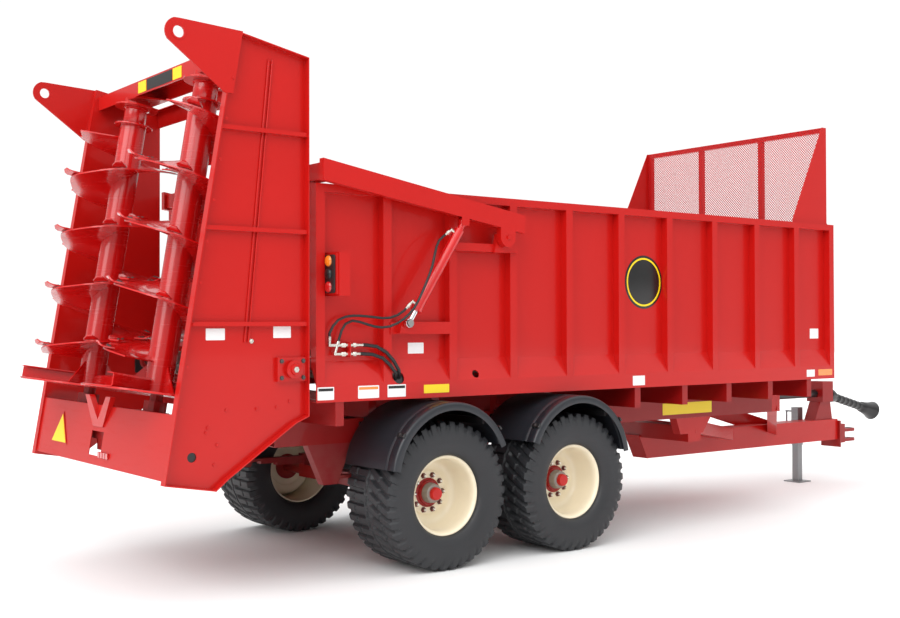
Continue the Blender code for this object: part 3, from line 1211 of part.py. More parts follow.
def main():
    clear_scene()
    frame = bpy.data.objects.new("spreader", None)
    bpy.context.collection.objects.link(frame)
    build_side_walls()
    build_front_wall()
    build_floor()
    build_apron()
    build_apron_shafts()
    build_chassis()
    build_drawbar()
    build_hitch()
    build_jack()
    build_running_gear()
    build_wheels()
    build_fenders()
    build_housing()
    build_top_beam()
    build_rear_panel()
    build_gearcase()
    build_beaters()
    build_endgate()
    build_cylinders()
    build_tail_lights()
    build_driveline()
    build_hose_fittings()
    build_hoses()
    centre_on_ground()


main()
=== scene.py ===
"""The looks of a towed manure spreader with two upright beaters.

Every place is measured from the rear end of the load box, in metres, with +X
towards the hitch, +Y towards the left side and +Z up from the ground.
"""

import logging
import math
from dataclasses import dataclass
from enum import Enum
from typing import Sequence

import bmesh
import bpy
import numpy as np
from mathutils import Matrix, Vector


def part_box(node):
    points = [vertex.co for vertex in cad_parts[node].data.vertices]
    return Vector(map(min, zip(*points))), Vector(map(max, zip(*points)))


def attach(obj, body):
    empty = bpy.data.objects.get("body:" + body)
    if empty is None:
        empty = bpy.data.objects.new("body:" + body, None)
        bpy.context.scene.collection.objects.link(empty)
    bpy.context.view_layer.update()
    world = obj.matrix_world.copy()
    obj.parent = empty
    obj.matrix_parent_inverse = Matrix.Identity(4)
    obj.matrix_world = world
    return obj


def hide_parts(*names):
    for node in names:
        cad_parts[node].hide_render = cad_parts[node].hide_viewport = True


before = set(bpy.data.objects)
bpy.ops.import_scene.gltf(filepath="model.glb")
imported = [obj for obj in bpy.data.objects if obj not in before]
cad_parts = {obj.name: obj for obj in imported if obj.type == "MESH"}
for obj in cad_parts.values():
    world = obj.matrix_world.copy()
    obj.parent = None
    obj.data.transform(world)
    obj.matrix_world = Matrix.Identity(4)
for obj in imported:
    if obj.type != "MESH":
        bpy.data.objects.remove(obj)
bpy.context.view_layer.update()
REAR_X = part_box("side_wall_right")[0][0]
LOG = logging.getLogger("spreader")

Colour = tuple[float, float, float]
Point = tuple[float, float, float]

LEAN = math.radians(9.6)       # of the beaters and of the housing's rear face
WHEEL_RADIUS = 0.560
PROUD = 0.0002                 # clearance between a face and what is laid on it


class Side(Enum):
    """The machine's two sides, with the sign of y on each."""

    RIGHT = -1
    LEFT = 1

    @property
    def word(self) -> str:
        """The side's name as nodes and bodies use it."""
        return self.name.lower()


class Row(Enum):
    """The two axles, with the distance of each from the box's rear end."""

    REAR = 1.080
    FRONT = 2.385

    @property
    def word(self) -> str:
        """The axle's name as nodes and bodies use it."""
        return self.name.lower()


def at(x: float, y: float, z: float) -> np.ndarray:
    """A place given from the box's rear end, in the frame's own coordinates."""
    return np.array([REAR_X + x, y, z])


def rear_face(height: float | np.ndarray) -> float | np.ndarray:
    """Distance along the machine of the housing's sloping rear face, at a height."""
    foot_x, foot_z = -1.160, 0.812
    return foot_x + math.tan(LEAN) * (height - foot_z)


# ------------------------------------------------------------------ surfaces
@dataclass
class Shape:
    """A surface as whole arrays.

    Attributes:
        points: The vertices, one row each.
        faces: Four corners for each face; a repeated corner closes a pole.
    """

    points: np.ndarray
    faces: np.ndarray

    def __add__(self, other: "Shape") -> "Shape":
        """Both surfaces as one."""
        return Shape(np.vstack([self.points, other.points]),
                     np.vstack([self.faces, other.faces + len(self.points)]))

    def moved(self, turn: np.ndarray, shift: np.ndarray) -> "Shape":
        """The surface turned by a 3 by 3 matrix and then shifted."""
        return Shape(self.points @ turn.T + shift, self.faces)

    def mirrored(self) -> "Shape":
        """The surface on the other side of the middle plane, faces still outwards."""
        return Shape(self.points * [1, -1, 1], self.faces[:, ::-1])


def joined(shapes: Sequence[Shape]) -> Shape:
    """Several surfaces as one.

    Args:
        shapes: The surfaces.

    Returns:
        One surface that holds them all.
    """
    whole = shapes[0]
    for shape in shapes[1:]:
        whole = whole + shape
    return whole


def grid_faces(rows: int, columns: int, wrap_rows: bool = False,
               wrap_columns: bool = False) -> np.ndarray:
    """The faces of a grid whose vertex (i, j) is number i * columns + j.

    Args:
        rows: Vertices along the first parameter.
        columns: Vertices along the second parameter.
        wrap_rows: Whether the last row joins the first.
        wrap_columns: Whether the last column joins the first.

    Returns:
        An array of four vertex numbers for each face.
    """
    i, j = np.meshgrid(np.arange(rows - (not wrap_rows)), np.arange(columns - (not wrap_columns)),
                       indexing="ij")
    down, right = (i + 1) % rows, (j + 1) % columns
    corners = (i * columns + j, down * columns + j, down * columns + right, i * columns + right)
    return np.stack(corners, -1).reshape(-1, 4)


def axes_for(axis: Sequence[float]) -> np.ndarray:
    """A square set of axes whose third column is the given direction.

    Args:
        axis: The direction.

    Returns:
        A 3 by 3 matrix with the two cross directions and the axis as columns.
    """
    third = np.asarray(axis, float) / np.linalg.norm(axis)
    helper = np.array([0.0, 0.0, 1.0]) if abs(third[2]) < 0.9 else np.array([1.0, 0.0, 0.0])
    first = np.cross(helper, third)
    first /= np.linalg.norm(first)
    return np.column_stack([first, np.cross(third, first), third])


def smooth_line(points: np.ndarray, steps: int) -> np.ndarray:
    """A Catmull-Rom curve: each span is the cubic that leaves along its neighbours' chord.

    Args:
        points: The points that the curve passes through.
        steps: Stretches in each span.

    Returns:
        The points on the curve, both ends included.
    """
    points = np.asarray(points, float)
    ends = np.vstack([2 * points[0] - points[1], points, 2 * points[-1] - points[-2]])
    p0, p1, p2, p3 = ends[:-3, None], ends[1:-2, None], ends[2:-1, None], ends[3:, None]
    t = np.linspace(0, 1, steps, endpoint=False)[None, :, None]
    curve = 0.5 * (2 * p1 + (p2 - p0) * t + (2 * p0 - 5 * p1 + 4 * p2 - p3) * t ** 2
                   + (3 * p1 - p0 - 3 * p2 + p3) * t ** 3)
    return np.vstack([curve.reshape(-1, points.shape[1]), points[-1]])


def revolved(profile: Sequence[Sequence[float]], centre: np.ndarray, axis: Sequence[float],
             segments: int = 48, closed: bool = False) -> Shape:
    """A profile spun about an axis: P(a, s) = centre + r(s)(u cos a + v sin a) + h(s) axis.

    Args:
        profile: Rows of radius and height; a radius of 0 closes on the axis.
        centre: Where height 0 lies on the axis.
        axis: The axis's direction.
        segments: Steps round the axis.
        closed: Whether the profile's last point joins its first.

    Returns:
        The turned surface.
    """
    radius, height = np.asarray(profile, float).T
    angle = np.linspace(0, 2 * np.pi, segments, endpoint=False)[:, None]
    local = np.stack([radius * np.cos(angle), radius * np.sin(angle), height + 0 * angle], -1)
    points = local.reshape(-1, 3) @ axes_for(axis).T + centre
    return Shape(points, grid_faces(segments, len(radius), True, closed))


def bar(start: np.ndarray, end: np.ndarray, radius: float, segments: int = 24,
        chamfer: float = 0.0015) -> Shape:
    """A round bar: a rectangle with broken corners spun about the line from start to end.

    Args:
        start: The middle of one end.
        end: The middle of the other end.
        radius: Half the bar's thickness.
        segments: Steps round the bar.
        chamfer: Width of the broken edge.

    Returns:
        The bar's surface.
    """
    span = float(np.linalg.norm(end - start))
    profile = [(0, 0), (radius - chamfer, 0), (radius, chamfer), (radius, span - chamfer),
               (radius - chamfer, span), (0, span)]
    return revolved(profile, start, end - start, segments)


def shell(surface: np.ndarray, thickness: float) -> Shape:
    """A sheet with both faces and its edges: Q(u, v) = P(u, v) + thickness * N(u, v).

    Args:
        surface: The grid P, rows by columns by 3.
        thickness: The sheet's thickness along its normal.

    Returns:
        The closed sheet.
    """
    rows, columns = surface.shape[:2]
    normal = np.cross(np.gradient(surface, axis=0), np.gradient(surface, axis=1))
    normal /= np.linalg.norm(normal, axis=-1, keepdims=True) + 1e-12
    both = np.vstack([surface.reshape(-1, 3), (surface + thickness * normal).reshape(-1, 3)])
    count = rows * columns
    near = grid_faces(rows, columns)
    index = np.arange(count).reshape(rows, columns)
    rim = np.concatenate([index[0], index[1:, -1], index[-1, -2::-1], index[-2:0:-1, 0]])
    after = np.roll(rim, -1)
    edge = np.stack([rim, after, after + count, rim + count], -1)
    return Shape(both, np.vstack([near[:, ::-1], near + count, edge]))


def slab(centre: np.ndarray, across: Sequence[float], up: Sequence[float], width: float, height: float,
         depth: float, corner: float = 0.006, soften: float = 0.0015) -> Shape:
    """A rounded plate: a rectangle with round corners, carried along its normal and closed.

    Args:
        centre: The middle of its back face.
        across: The direction of its width.
        up: The direction of its height.
        width: Its size across.
        height: Its size up.
        depth: Its thickness along across x up.
        corner: Radius of its corners.
        soften: Width of the broken edge of its front face.

    Returns:
        The closed plate.
    """
    turn = np.column_stack([across, up, np.cross(across, up)]).astype(float)
    turn /= np.linalg.norm(turn, axis=0)
    angle = np.linspace(0, 2 * np.pi, 24, endpoint=False) + np.pi / 24
    reach = np.array([width / 2 - corner, height / 2 - corner])
    circle = np.stack([np.cos(angle), np.sin(angle)], -1)
    outline = np.sign(circle) * reach + corner * circle
    inner = np.sign(circle) * reach + (corner - min(soften, corner * 0.9)) * circle
    levels = [(outline * 0, 0.0), (outline, 0.0), (outline, depth - soften), (inner, depth),
              (outline * 0, depth)]
    rings = [np.column_stack([ring, np.full(len(ring), level)]) for ring, level in levels]
    points = np.vstack(rings) @ turn.T + centre
    return Shape(points, grid_faces(len(levels), len(angle), False, True))


def bolt_heads(centres: np.ndarray, axis: Sequence[float], radius: float = 0.012,
               height: float = 0.008) -> Shape:
    """Hexagon heads on washers: a six-sided profile carried along the axis at every centre.

    Args:
        centres: One row for each bolt, on the plate's face.
        axis: The direction that the heads point in.
        radius: Half the width over a head's corners.
        height: A head's height.

    Returns:
        All the bolts as one surface.
    """
    rings = np.array([(0, 0), (1.35, 0), (1.35, 0.2), (1, 0.2), (1, 0.9), (0.85, 1), (0, 1)])
    angle = np.linspace(0, 2 * np.pi, 6, endpoint=False)
    flat = np.stack([np.outer(rings[:, 0], np.cos(angle)) * radius,
                     np.outer(rings[:, 0], np.sin(angle)) * radius,
                     np.outer(rings[:, 1], np.ones(6)) * height], -1).reshape(-1, 3)
    centres = np.atleast_2d(centres)
    points = (flat @ axes_for(axis).T)[None] + centres[:, None]
    faces = grid_faces(len(rings), 6, False, True)
    every = faces[None] + (np.arange(len(centres)) * len(flat))[:, None, None]
    return Shape(points.reshape(-1, 3), every.reshape(-1, 4))


def piece(name: str, shape: Shape, finish: "Finish", body: str,
          crease: float = 35.0) -> bpy.types.Object:
    """Puts a surface into the scene, riding on a body.

    Args:
        name: The object's name.
        shape: The surface, already in place.
        finish: What it is made of.
        body: The body that carries it.
        crease: Angle in degrees past which an edge looks sharp.

    Returns:
        The finished object.
    """
    data = bpy.data.meshes.new(name)
    data.vertices.add(len(shape.points))
    data.vertices.foreach_set("co", shape.points.astype(np.float32).ravel())
    data.loops.add(shape.faces.size)
    data.loops.foreach_set("vertex_index", shape.faces.astype(np.int32).ravel())
    data.polygons.add(len(shape.faces))
    data.polygons.foreach_set("loop_start", np.arange(0, shape.faces.size, 4, dtype=np.int32))
    data.update(calc_edges=True)
    work = bmesh.new()
    work.from_mesh(data)
    bmesh.ops.remove_doubles(work, verts=work.verts, dist=1e-6)
    bmesh.ops.recalc_face_normals(work, faces=work.faces)
    work.to_mesh(data)
    work.free()
    data.validate()
    data.shade_smooth()
    data.set_sharp_from_angle(angle=math.radians(crease))
    made = bpy.data.objects.new(name, data)
    bpy.context.scene.collection.objects.link(made)
    data.materials.append(finish.material())
    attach(made, body)
    LOG.info("%s: %d faces on %s", name, len(data.polygons), body)
    return made


# ------------------------------------------------------------------ finishes
class Wiring:
    """A short way to place and join the nodes of one tree."""

    def __init__(self, tree: bpy.types.NodeTree) -> None:
        """Keeps the tree."""
        self.tree = tree

    def node(self, kind: str, values: dict[str | int, object] | None = None,
             **settings: object) -> bpy.types.Node:
        """Places a node.

        Args:
            kind: Blender's name for the node.
            values: Input sockets by name or number, each a number, a colour or an output to join.
            settings: The node's own settings.

        Returns:
            The node.
        """
        made = self.tree.nodes.new(kind)
        for key, value in settings.items():
            setattr(made, key, value)
        for key, value in (values or {}).items():
            self.feed(made.inputs[key], value)
        return made

    def feed(self, socket: bpy.types.NodeSocket, value: object) -> None:
        """Joins an output to a socket, or sets its value.

        Args:
            socket: The input socket.
            value: An output to join, a colour or a number.
        """
        if isinstance(value, bpy.types.NodeSocket):
            self.tree.links.new(value, socket)
        elif isinstance(value, tuple) and len(value) == 3 and socket.type == "RGBA":
            socket.default_value = (*value, 1.0)
        else:
            socket.default_value = value

    def mixed(self, factor: object, first: object, second: object) -> bpy.types.NodeSocket:
        """A mix of two colours.

        Args:
            factor: From 0, the first colour, to 1, the second.
            first: The first colour.
            second: The second colour.

        Returns:
            The mixed colour.
        """
        made = self.tree.nodes.new("ShaderNodeMix")
        made.data_type = "RGBA"
        for index, value in ((0, factor), (6, first), (7, second)):
            self.feed(made.inputs[index], value)
        return made.outputs[2]

    def spread(self, value: object, low: float, high: float, to_low: object = 0.0,
               to_high: object = 1.0) -> bpy.types.NodeSocket:
        """A value stretched from one range to another, and held inside it."""
        return self.node("ShaderNodeMapRange", {
            "Value": value, "From Min": low, "From Max": high,
            "To Min": to_low, "To Max": to_high}).outputs[0]


def new_group(name: str, inputs: dict[str, tuple[str, object]],
              outputs: dict[str, str]) -> tuple[Wiring, object, object]:
    """Starts a shader node group.

    Args:
        name: The group's name.
        inputs: Socket kind and first value by name; a value of None is left alone.
        outputs: Socket kind by name.

    Returns:
        Its wiring, its input node's outputs and its output node's inputs.
    """
    tree = bpy.data.node_groups.new(name, "ShaderNodeTree")
    for word, (kind, value) in inputs.items():
        socket = tree.interface.new_socket(word, in_out="INPUT", socket_type=f"NodeSocket{kind}")
        if value is not None:
            socket.default_value = value
    for word, kind in outputs.items():
        tree.interface.new_socket(word, in_out="OUTPUT", socket_type=f"NodeSocket{kind}")
    wiring = Wiring(tree)
    return wiring, wiring.node("NodeGroupInput").outputs, wiring.node("NodeGroupOutput").inputs


def mottle_group() -> bpy.types.NodeTree:
    """Soft colour variation: large noise moves the colour between a darker and a lighter tone.

    Returns:
        The group, made once and shared.
    """
    name = "mottle"
    if name in bpy.data.node_groups:
        return bpy.data.node_groups[name]
    wiring, given, out = new_group(name, {
        "Vector": ("Vector", None), "Colour": ("Color", (1, 1, 1, 1)), "Scale": ("Float", 1.5),
        "Depth": ("Float", 0.1)}, {"Color": "Color"})
    noise = wiring.node("ShaderNodeTexNoise", {
        "Vector": given["Vector"], "Scale": given["Scale"], "Detail": 5.0, "Roughness": 0.6}).outputs[0]
    mask = wiring.spread(noise, 0.3, 0.7)
    swing = wiring.node("ShaderNodeMath", {0: mask, 1: 0.5}, operation="SUBTRACT").outputs[0]
    scaled = wiring.node("ShaderNodeMath", {0: swing, 1: given["Depth"], 2: 1.0},
                         operation="MULTIPLY_ADD").outputs[0]
    tint = wiring.node("ShaderNodeHueSaturation", {"Value": scaled, "Color": given["Colour"]}).outputs[0]
    wiring.feed(out["Color"], tint)
    return wiring.tree


def dust_group() -> bpy.types.NodeTree:
    """Road dust: a mask that grows towards the ground and is broken up by noise.

    Returns:
        The group, made once and shared.
    """
    name = "road_dust"
    if name in bpy.data.node_groups:
        return bpy.data.node_groups[name]
    wiring, given, out = new_group(name, {
        "Vector": ("Vector", None), "Top": ("Float", 1.2), "Amount": ("Float", 0.2)}, {"Mask": "Float"})
    height = wiring.node("ShaderNodeSeparateXYZ", {0: given["Vector"]}).outputs[2]
    lower = wiring.node("ShaderNodeMapRange", {
        "Value": height, "From Min": given["Top"], "From Max": 0.0, "To Min": 0.0, "To Max": 1.0}).outputs[0]
    noise = wiring.node("ShaderNodeTexNoise", {
        "Vector": given["Vector"], "Scale": 7.0, "Detail": 6.0, "Roughness": 0.65}).outputs[0]
    broken = wiring.node("ShaderNodeMath", {0: lower, 1: wiring.spread(noise, 0.35, 0.75)},
                         operation="MULTIPLY").outputs[0]
    wiring.feed(out["Mask"], wiring.node("ShaderNodeMath", {0: broken, 1: given["Amount"]},
                                         operation="MULTIPLY").outputs[0])
    return wiring.tree


def scuff_group() -> bpy.types.NodeTree:
    """Fine wear: stretched noise gives thin streaks, and a small noise gives the surface's grain.

    Returns:
        The group, made once and shared.
    """
    name = "scuffs"
    if name in bpy.data.node_groups:
        return bpy.data.node_groups[name]
    wiring, given, out = new_group(name, {
        "Vector": ("Vector", None), "Streaks": ("Float", 3.0), "Grain": ("Float", 260.0)},
        {"Mask": "Float", "Height": "Float"})
    stretched = wiring.node("ShaderNodeMapping", {
        "Vector": given["Vector"], "Scale": (1.0, 1.0, 9.0)}).outputs[0]
    streak = wiring.node("ShaderNodeTexNoise", {
        "Vector": stretched, "Scale": given["Streaks"], "Detail": 8.0, "Roughness": 0.7}).outputs[0]
    grain = wiring.node("ShaderNodeTexNoise", {
        "Vector": given["Vector"], "Scale": given["Grain"], "Detail": 2.0}).outputs[0]
    wiring.feed(out["Mask"], wiring.spread(streak, 0.52, 0.72))
    wiring.feed(out["Height"], grain)
    return wiring.tree


@dataclass(frozen=True)
class Finish:
    """A material, made once and shared.

    Attributes:
        name: The material's name.
        slot: Name of a material slot; not used.
        colour: Its base colour.
        roughness: How matt it is where it is clean.
        metallic: 1 for bare metal.
        coat: Weight of a clear gloss coat.
        mottle: How far its tone wanders.
        dust: How much dust lies near the ground.
        dust_top: Height at which dust ends.
        dust_colour: The dust's colour.
        grain: Scale of its fine grain.
        relief: Depth of the grain's bump.
        worn: How much rougher the streaks are.
        specular: Strength of the reflection under the coat.
    """

    name: str
    slot: str
    colour: Colour
    roughness: float = 0.4
    metallic: float = 0.0
    coat: float = 0.0
    mottle: float = 0.08
    dust: float = 0.15
    dust_top: float = 1.3
    dust_colour: Colour = (0.32, 0.22, 0.17)
    grain: float = 220.0
    relief: float = 0.02
    worn: float = 0.12
    specular: float = 0.5

    def material(self) -> bpy.types.Material:
        """The Blender material, built the first time it is asked for.

        Returns:
            The material.
        """
        made = bpy.data.materials.get(self.name)
        if made is None:
            made = bpy.data.materials.new(self.name)
            made.use_nodes = True
            self.wire(Wiring(made.node_tree), made.node_tree.nodes["Principled BSDF"])
        return made

    def wire(self, wiring: Wiring, shader: bpy.types.Node) -> None:
        """Feeds the shader with tone, dust, streaks and grain.

        Args:
            wiring: The material's tree.
            shader: Its Principled BSDF.
        """
        place = wiring.node("ShaderNodeTexCoord").outputs["Object"]
        tone = wiring.node("ShaderNodeGroup", node_tree=mottle_group())
        dust = wiring.node("ShaderNodeGroup", node_tree=dust_group())
        scuff = wiring.node("ShaderNodeGroup", node_tree=scuff_group())
        for group in (tone, dust, scuff):
            wiring.feed(group.inputs["Vector"], place)
        wiring.feed(tone.inputs["Colour"], self.colour)
        tone.inputs["Depth"].default_value = self.mottle
        dust.inputs["Amount"].default_value = self.dust
        dust.inputs["Top"].default_value = self.dust_top
        scuff.inputs["Grain"].default_value = self.grain
        colour = self.pattern(wiring, place, tone.outputs["Color"])
        wiring.feed(shader.inputs["Base Color"],
                    wiring.mixed(dust.outputs["Mask"], colour, self.dust_colour))
        rough = wiring.spread(scuff.outputs["Mask"], 0.0, 1.0, self.roughness,
                              min(self.roughness + self.worn, 1.0))
        wiring.feed(shader.inputs["Roughness"], wiring.node(
            "ShaderNodeMath", {0: dust.outputs["Mask"], 1: 0.4, 2: rough},
            operation="MULTIPLY_ADD", use_clamp=True).outputs[0])
        bump = wiring.node("ShaderNodeBump", {
            "Strength": 0.6, "Distance": self.relief * 0.01, "Height": scuff.outputs["Height"]})
        wiring.feed(shader.inputs["Normal"], bump.outputs[0])
        shader.inputs["Metallic"].default_value = self.metallic
        shader.inputs["Coat Weight"].default_value = self.coat
        shader.inputs["Coat Roughness"].default_value = 0.06
        shader.inputs["Specular IOR Level"].default_value = self.specular

    def pattern(self, wiring: Wiring, place: bpy.types.NodeSocket,
                colour: bpy.types.NodeSocket) -> bpy.types.NodeSocket:
        """A finish's own pattern over its tone; the plain finish has none."""
        return colour


@dataclass(frozen=True)
class Galvanised(Finish):
    """Hot-dipped zinc, with its spangle of crystals."""

    def pattern(self, wiring: Wiring, place: bpy.types.NodeSocket,
                colour: bpy.types.NodeSocket) -> bpy.types.NodeSocket:
        """Cells of lighter and darker grey over the tone.

        Args:
            wiring: The material's tree.
            place: Object coordinates.
            colour: The tone below.

        Returns:
            The colour with the pattern over it.
        """
        cells = wiring.node("ShaderNodeTexVoronoi", {"Vector": place, "Scale": 70.0}).outputs["Color"]
        value = wiring.node("ShaderNodeSeparateXYZ", {0: cells}).outputs[0]
        return wiring.mixed(wiring.spread(value, 0.0, 1.0, 0.0, 0.45), colour, (0.30, 0.31, 0.32))


@dataclass(frozen=True)
class Worn(Finish):
    """Painted steel that the load has scraped to bare, stained metal in places."""

    bare: Colour = (0.16, 0.12, 0.10)

    def pattern(self, wiring: Wiring, place: bpy.types.NodeSocket,
                colour: bpy.types.NodeSocket) -> bpy.types.NodeSocket:
        """Long scraped streaks of bare metal along the machine.

        Args:
            wiring: The material's tree.
            place: Object coordinates.
            colour: The tone below.

        Returns:
            The colour with the pattern over it.
        """
        long = wiring.node("ShaderNodeMapping", {"Vector": place, "Scale": (0.6, 7.0, 7.0)}).outputs[0]
        noise = wiring.node("ShaderNodeTexNoise", {
            "Vector": long, "Scale": 2.5, "Detail": 7.0}).outputs[0]
        return wiring.mixed(wiring.spread(noise, 0.45, 0.62, 0.0, 0.75), colour, self.bare)


@dataclass(frozen=True)
class Perforated(Finish):
    """Sheet with rows of round holes, every second row set over by half a pitch."""

    pitch: float = 0.028
    hole: float = 0.40

    def wire(self, wiring: Wiring, shader: bpy.types.Node) -> None:
        """Adds the holes as transparency to the plain finish.

        Args:
            wiring: The material's tree.
            shader: Its Principled BSDF.
        """
        super().wire(wiring, shader)
        place = wiring.node("ShaderNodeTexCoord").outputs["Object"]
        flat = wiring.node("ShaderNodeSeparateXYZ", {0: place}).outputs

        def cell(shift: float) -> bpy.types.NodeSocket:
            """Distance from the nearest hole of one of the two interleaved square grids.

            Args:
                shift: How far the grid is set over, in pitches.

            Returns:
                The distance in pitches.
            """
            squares = []
            for value in (flat[1], flat[2]):
                scaled = wiring.node("ShaderNodeMath", {0: value, 1: 1 / self.pitch, 2: shift},
                                     operation="MULTIPLY_ADD").outputs[0]
                centred = wiring.node("ShaderNodeMath", {0: scaled, 1: 0.5, 2: -0.5},
                                      operation="WRAP").outputs[0]
                squares.append(wiring.node("ShaderNodeMath", {0: centred, 1: 2.0},
                                           operation="POWER").outputs[0])
            total = wiring.node("ShaderNodeMath", {0: squares[0], 1: squares[1]},
                                operation="ADD").outputs[0]
            return wiring.node("ShaderNodeMath", {0: total, 1: 0.5}, operation="POWER").outputs[0]

        nearest = wiring.node("ShaderNodeMath", {0: cell(0.0), 1: cell(0.5)},
                              operation="MINIMUM").outputs[0]
        wiring.feed(shader.inputs["Alpha"], wiring.node(
            "ShaderNodeMath", {0: nearest, 1: self.hole * 0.75}, operation="GREATER_THAN").outputs[0])


RED = Finish("gloss_red", "red_paint", (0.50, 0.006, 0.004), 0.34, coat=0.28, dust=0.04, worn=0.10,
             mottle=0.05, specular=0.25)
# Partly painted shade: the underframe's red is darker than the box's red, in part to stand in for the shadow
# under the box.
SHADED_CHASSIS_RED = Finish("chassis_red", "chassis_paint", (0.29, 0.003, 0.003), 0.42, coat=0.2, dust=0.10,
                     specular=0.3)
BEATER_RED = Finish("beater_red", "beater_paint", (0.54, 0.005, 0.005), 0.24, coat=0.7, dust=0.0,
                    mottle=0.12, specular=0.45)
SPRING_RED = Finish("spring_red", "spring_steel", (0.24, 0.008, 0.010), 0.5, dust=0.35)
CYLINDER_RED = Finish("cylinder_red", "cylinder_paint", (0.56, 0.004, 0.005), 0.3, coat=0.5, dust=0.0)
SCREEN_RED = Perforated("screen_red", "screen_mesh", (0.52, 0.010, 0.012), 0.4, dust=0.0)
FLOOR_RED = Worn("scraped_floor", "floor_steel", (0.36, 0.010, 0.012), 0.5, dust=0.1)
APRON_STEEL = Worn("apron_steel_worn", "apron_steel", (0.22, 0.15, 0.12), 0.5, metallic=0.6, dust=0.0)
SHAFT_STEEL = Finish("turned_steel", "shaft_steel", (0.36, 0.35, 0.34), 0.3, metallic=1.0, dust=0.1)
ZINC = Galvanised("dipped_zinc", "galvanised", (0.30, 0.31, 0.32), 0.42, metallic=0.85, dust=0.15)
CHROME = Finish("chromed_rod", "chrome", (0.75, 0.75, 0.77), 0.07, metallic=1.0, mottle=0.02, dust=0.0,
                worn=0.03)
FITTING = Finish("zinc_fitting", "zinc_fittings", (0.66, 0.64, 0.58), 0.25, metallic=1.0, dust=0.0)
DARK_BOLT = Finish("dark_bolts", "zinc_fittings", (0.11, 0.10, 0.10), 0.4, metallic=0.8)
HOSE = Finish("hose_black", "hose_rubber", (0.010, 0.010, 0.011), 0.42, dust=0.03, grain=500.0,
              relief=0.04)
TYRE = Finish("tyre_black", "tyre_rubber", (0.018, 0.019, 0.022), 0.50, dust=0.05, dust_top=0.9,
              dust_colour=(0.08, 0.075, 0.07), grain=420.0, relief=0.06, mottle=0.25)
CREAM = Finish("rim_cream_gloss", "rim_cream", (0.84, 0.75, 0.56), 0.3, coat=0.4, dust=0.10,
               mottle=0.05, dust_colour=(0.45, 0.36, 0.26))
FENDER = Finish("fender_moulding", "fender_plastic", (0.016, 0.018, 0.023), 0.34, dust=0.03,
                grain=350.0, relief=0.03, dust_colour=(0.12, 0.12, 0.12))
BLACK_GUARD = Finish("guard_black", "guard_plastic", (0.012, 0.012, 0.013), 0.3, dust=0.06)
CAST_GREY = Finish("cast_grey", "zinc_fittings", (0.30, 0.27, 0.25), 0.45, metallic=0.3, dust=0.1)
NUT_RED = Finish("nut_red", "chassis_paint", (0.12, 0.012, 0.010), 0.35, coat=0.3, dust=0.1)
WHITE_FILM = Finish("white_film", "rim_cream", (0.80, 0.80, 0.80), 0.3, mottle=0.03, dust=0.06)
YELLOW_FILM = Finish("yellow_film", "rim_cream", (0.90, 0.66, 0.008), 0.3, mottle=0.04, dust=0.0)
BLACK_FILM = Finish("black_film", "guard_plastic", (0.010, 0.010, 0.010), 0.3, dust=0.0)
AMBER_LENS = Finish("amber_lens", "guard_plastic", (0.85, 0.22, 0.01), 0.12, coat=1.0, dust=0.0, mottle=0.15)
RED_LENS = Finish("red_lens", "guard_plastic", (0.50, 0.006, 0.006), 0.12, coat=1.0, dust=0.0, mottle=0.15)
PALE_FLOOR = Finish("pale_floor", "rim_cream", (0.90, 0.90, 0.90), 0.9, dust=0.0, mottle=0.0)

NODE_FINISHES: dict[Finish, tuple[str, ...]] = {
    RED: ("side_wall_right", "side_wall_left", "front_wall", "drawbar", "housing_side_right",
          "housing_side_left", "top_beam", "top_front_tie", "rear_panel", "endgate", "tail_light_right",
          "tail_light_left"),
    SHADED_CHASSIS_RED: ("chassis_frame", "hitch_clevis", "axle_rear", "axle_front", "gearcase",
                  "rear_cross_member", "pto_stand"),
    SPRING_RED: ("suspension_right", "suspension_left"),
    SCREEN_RED: ("screen_panel",),
    FLOOR_RED: ("floor",),
    APRON_STEEL: ("apron",),
    SHAFT_STEEL: ("apron_drive_shaft", "apron_idler_shaft", "pto_yoke"),
    ZINC: ("jack_sleeve", "jack_leg"),
}


def dress_frame() -> None:
    """Gives each CAD node that stays in view its own finish."""
    for finish, nodes in NODE_FINISHES.items():
        for name in nodes:
            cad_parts[name].material_slots[0].material = finish.material()
        LOG.info("%s on %d nodes", finish.name, len(nodes))


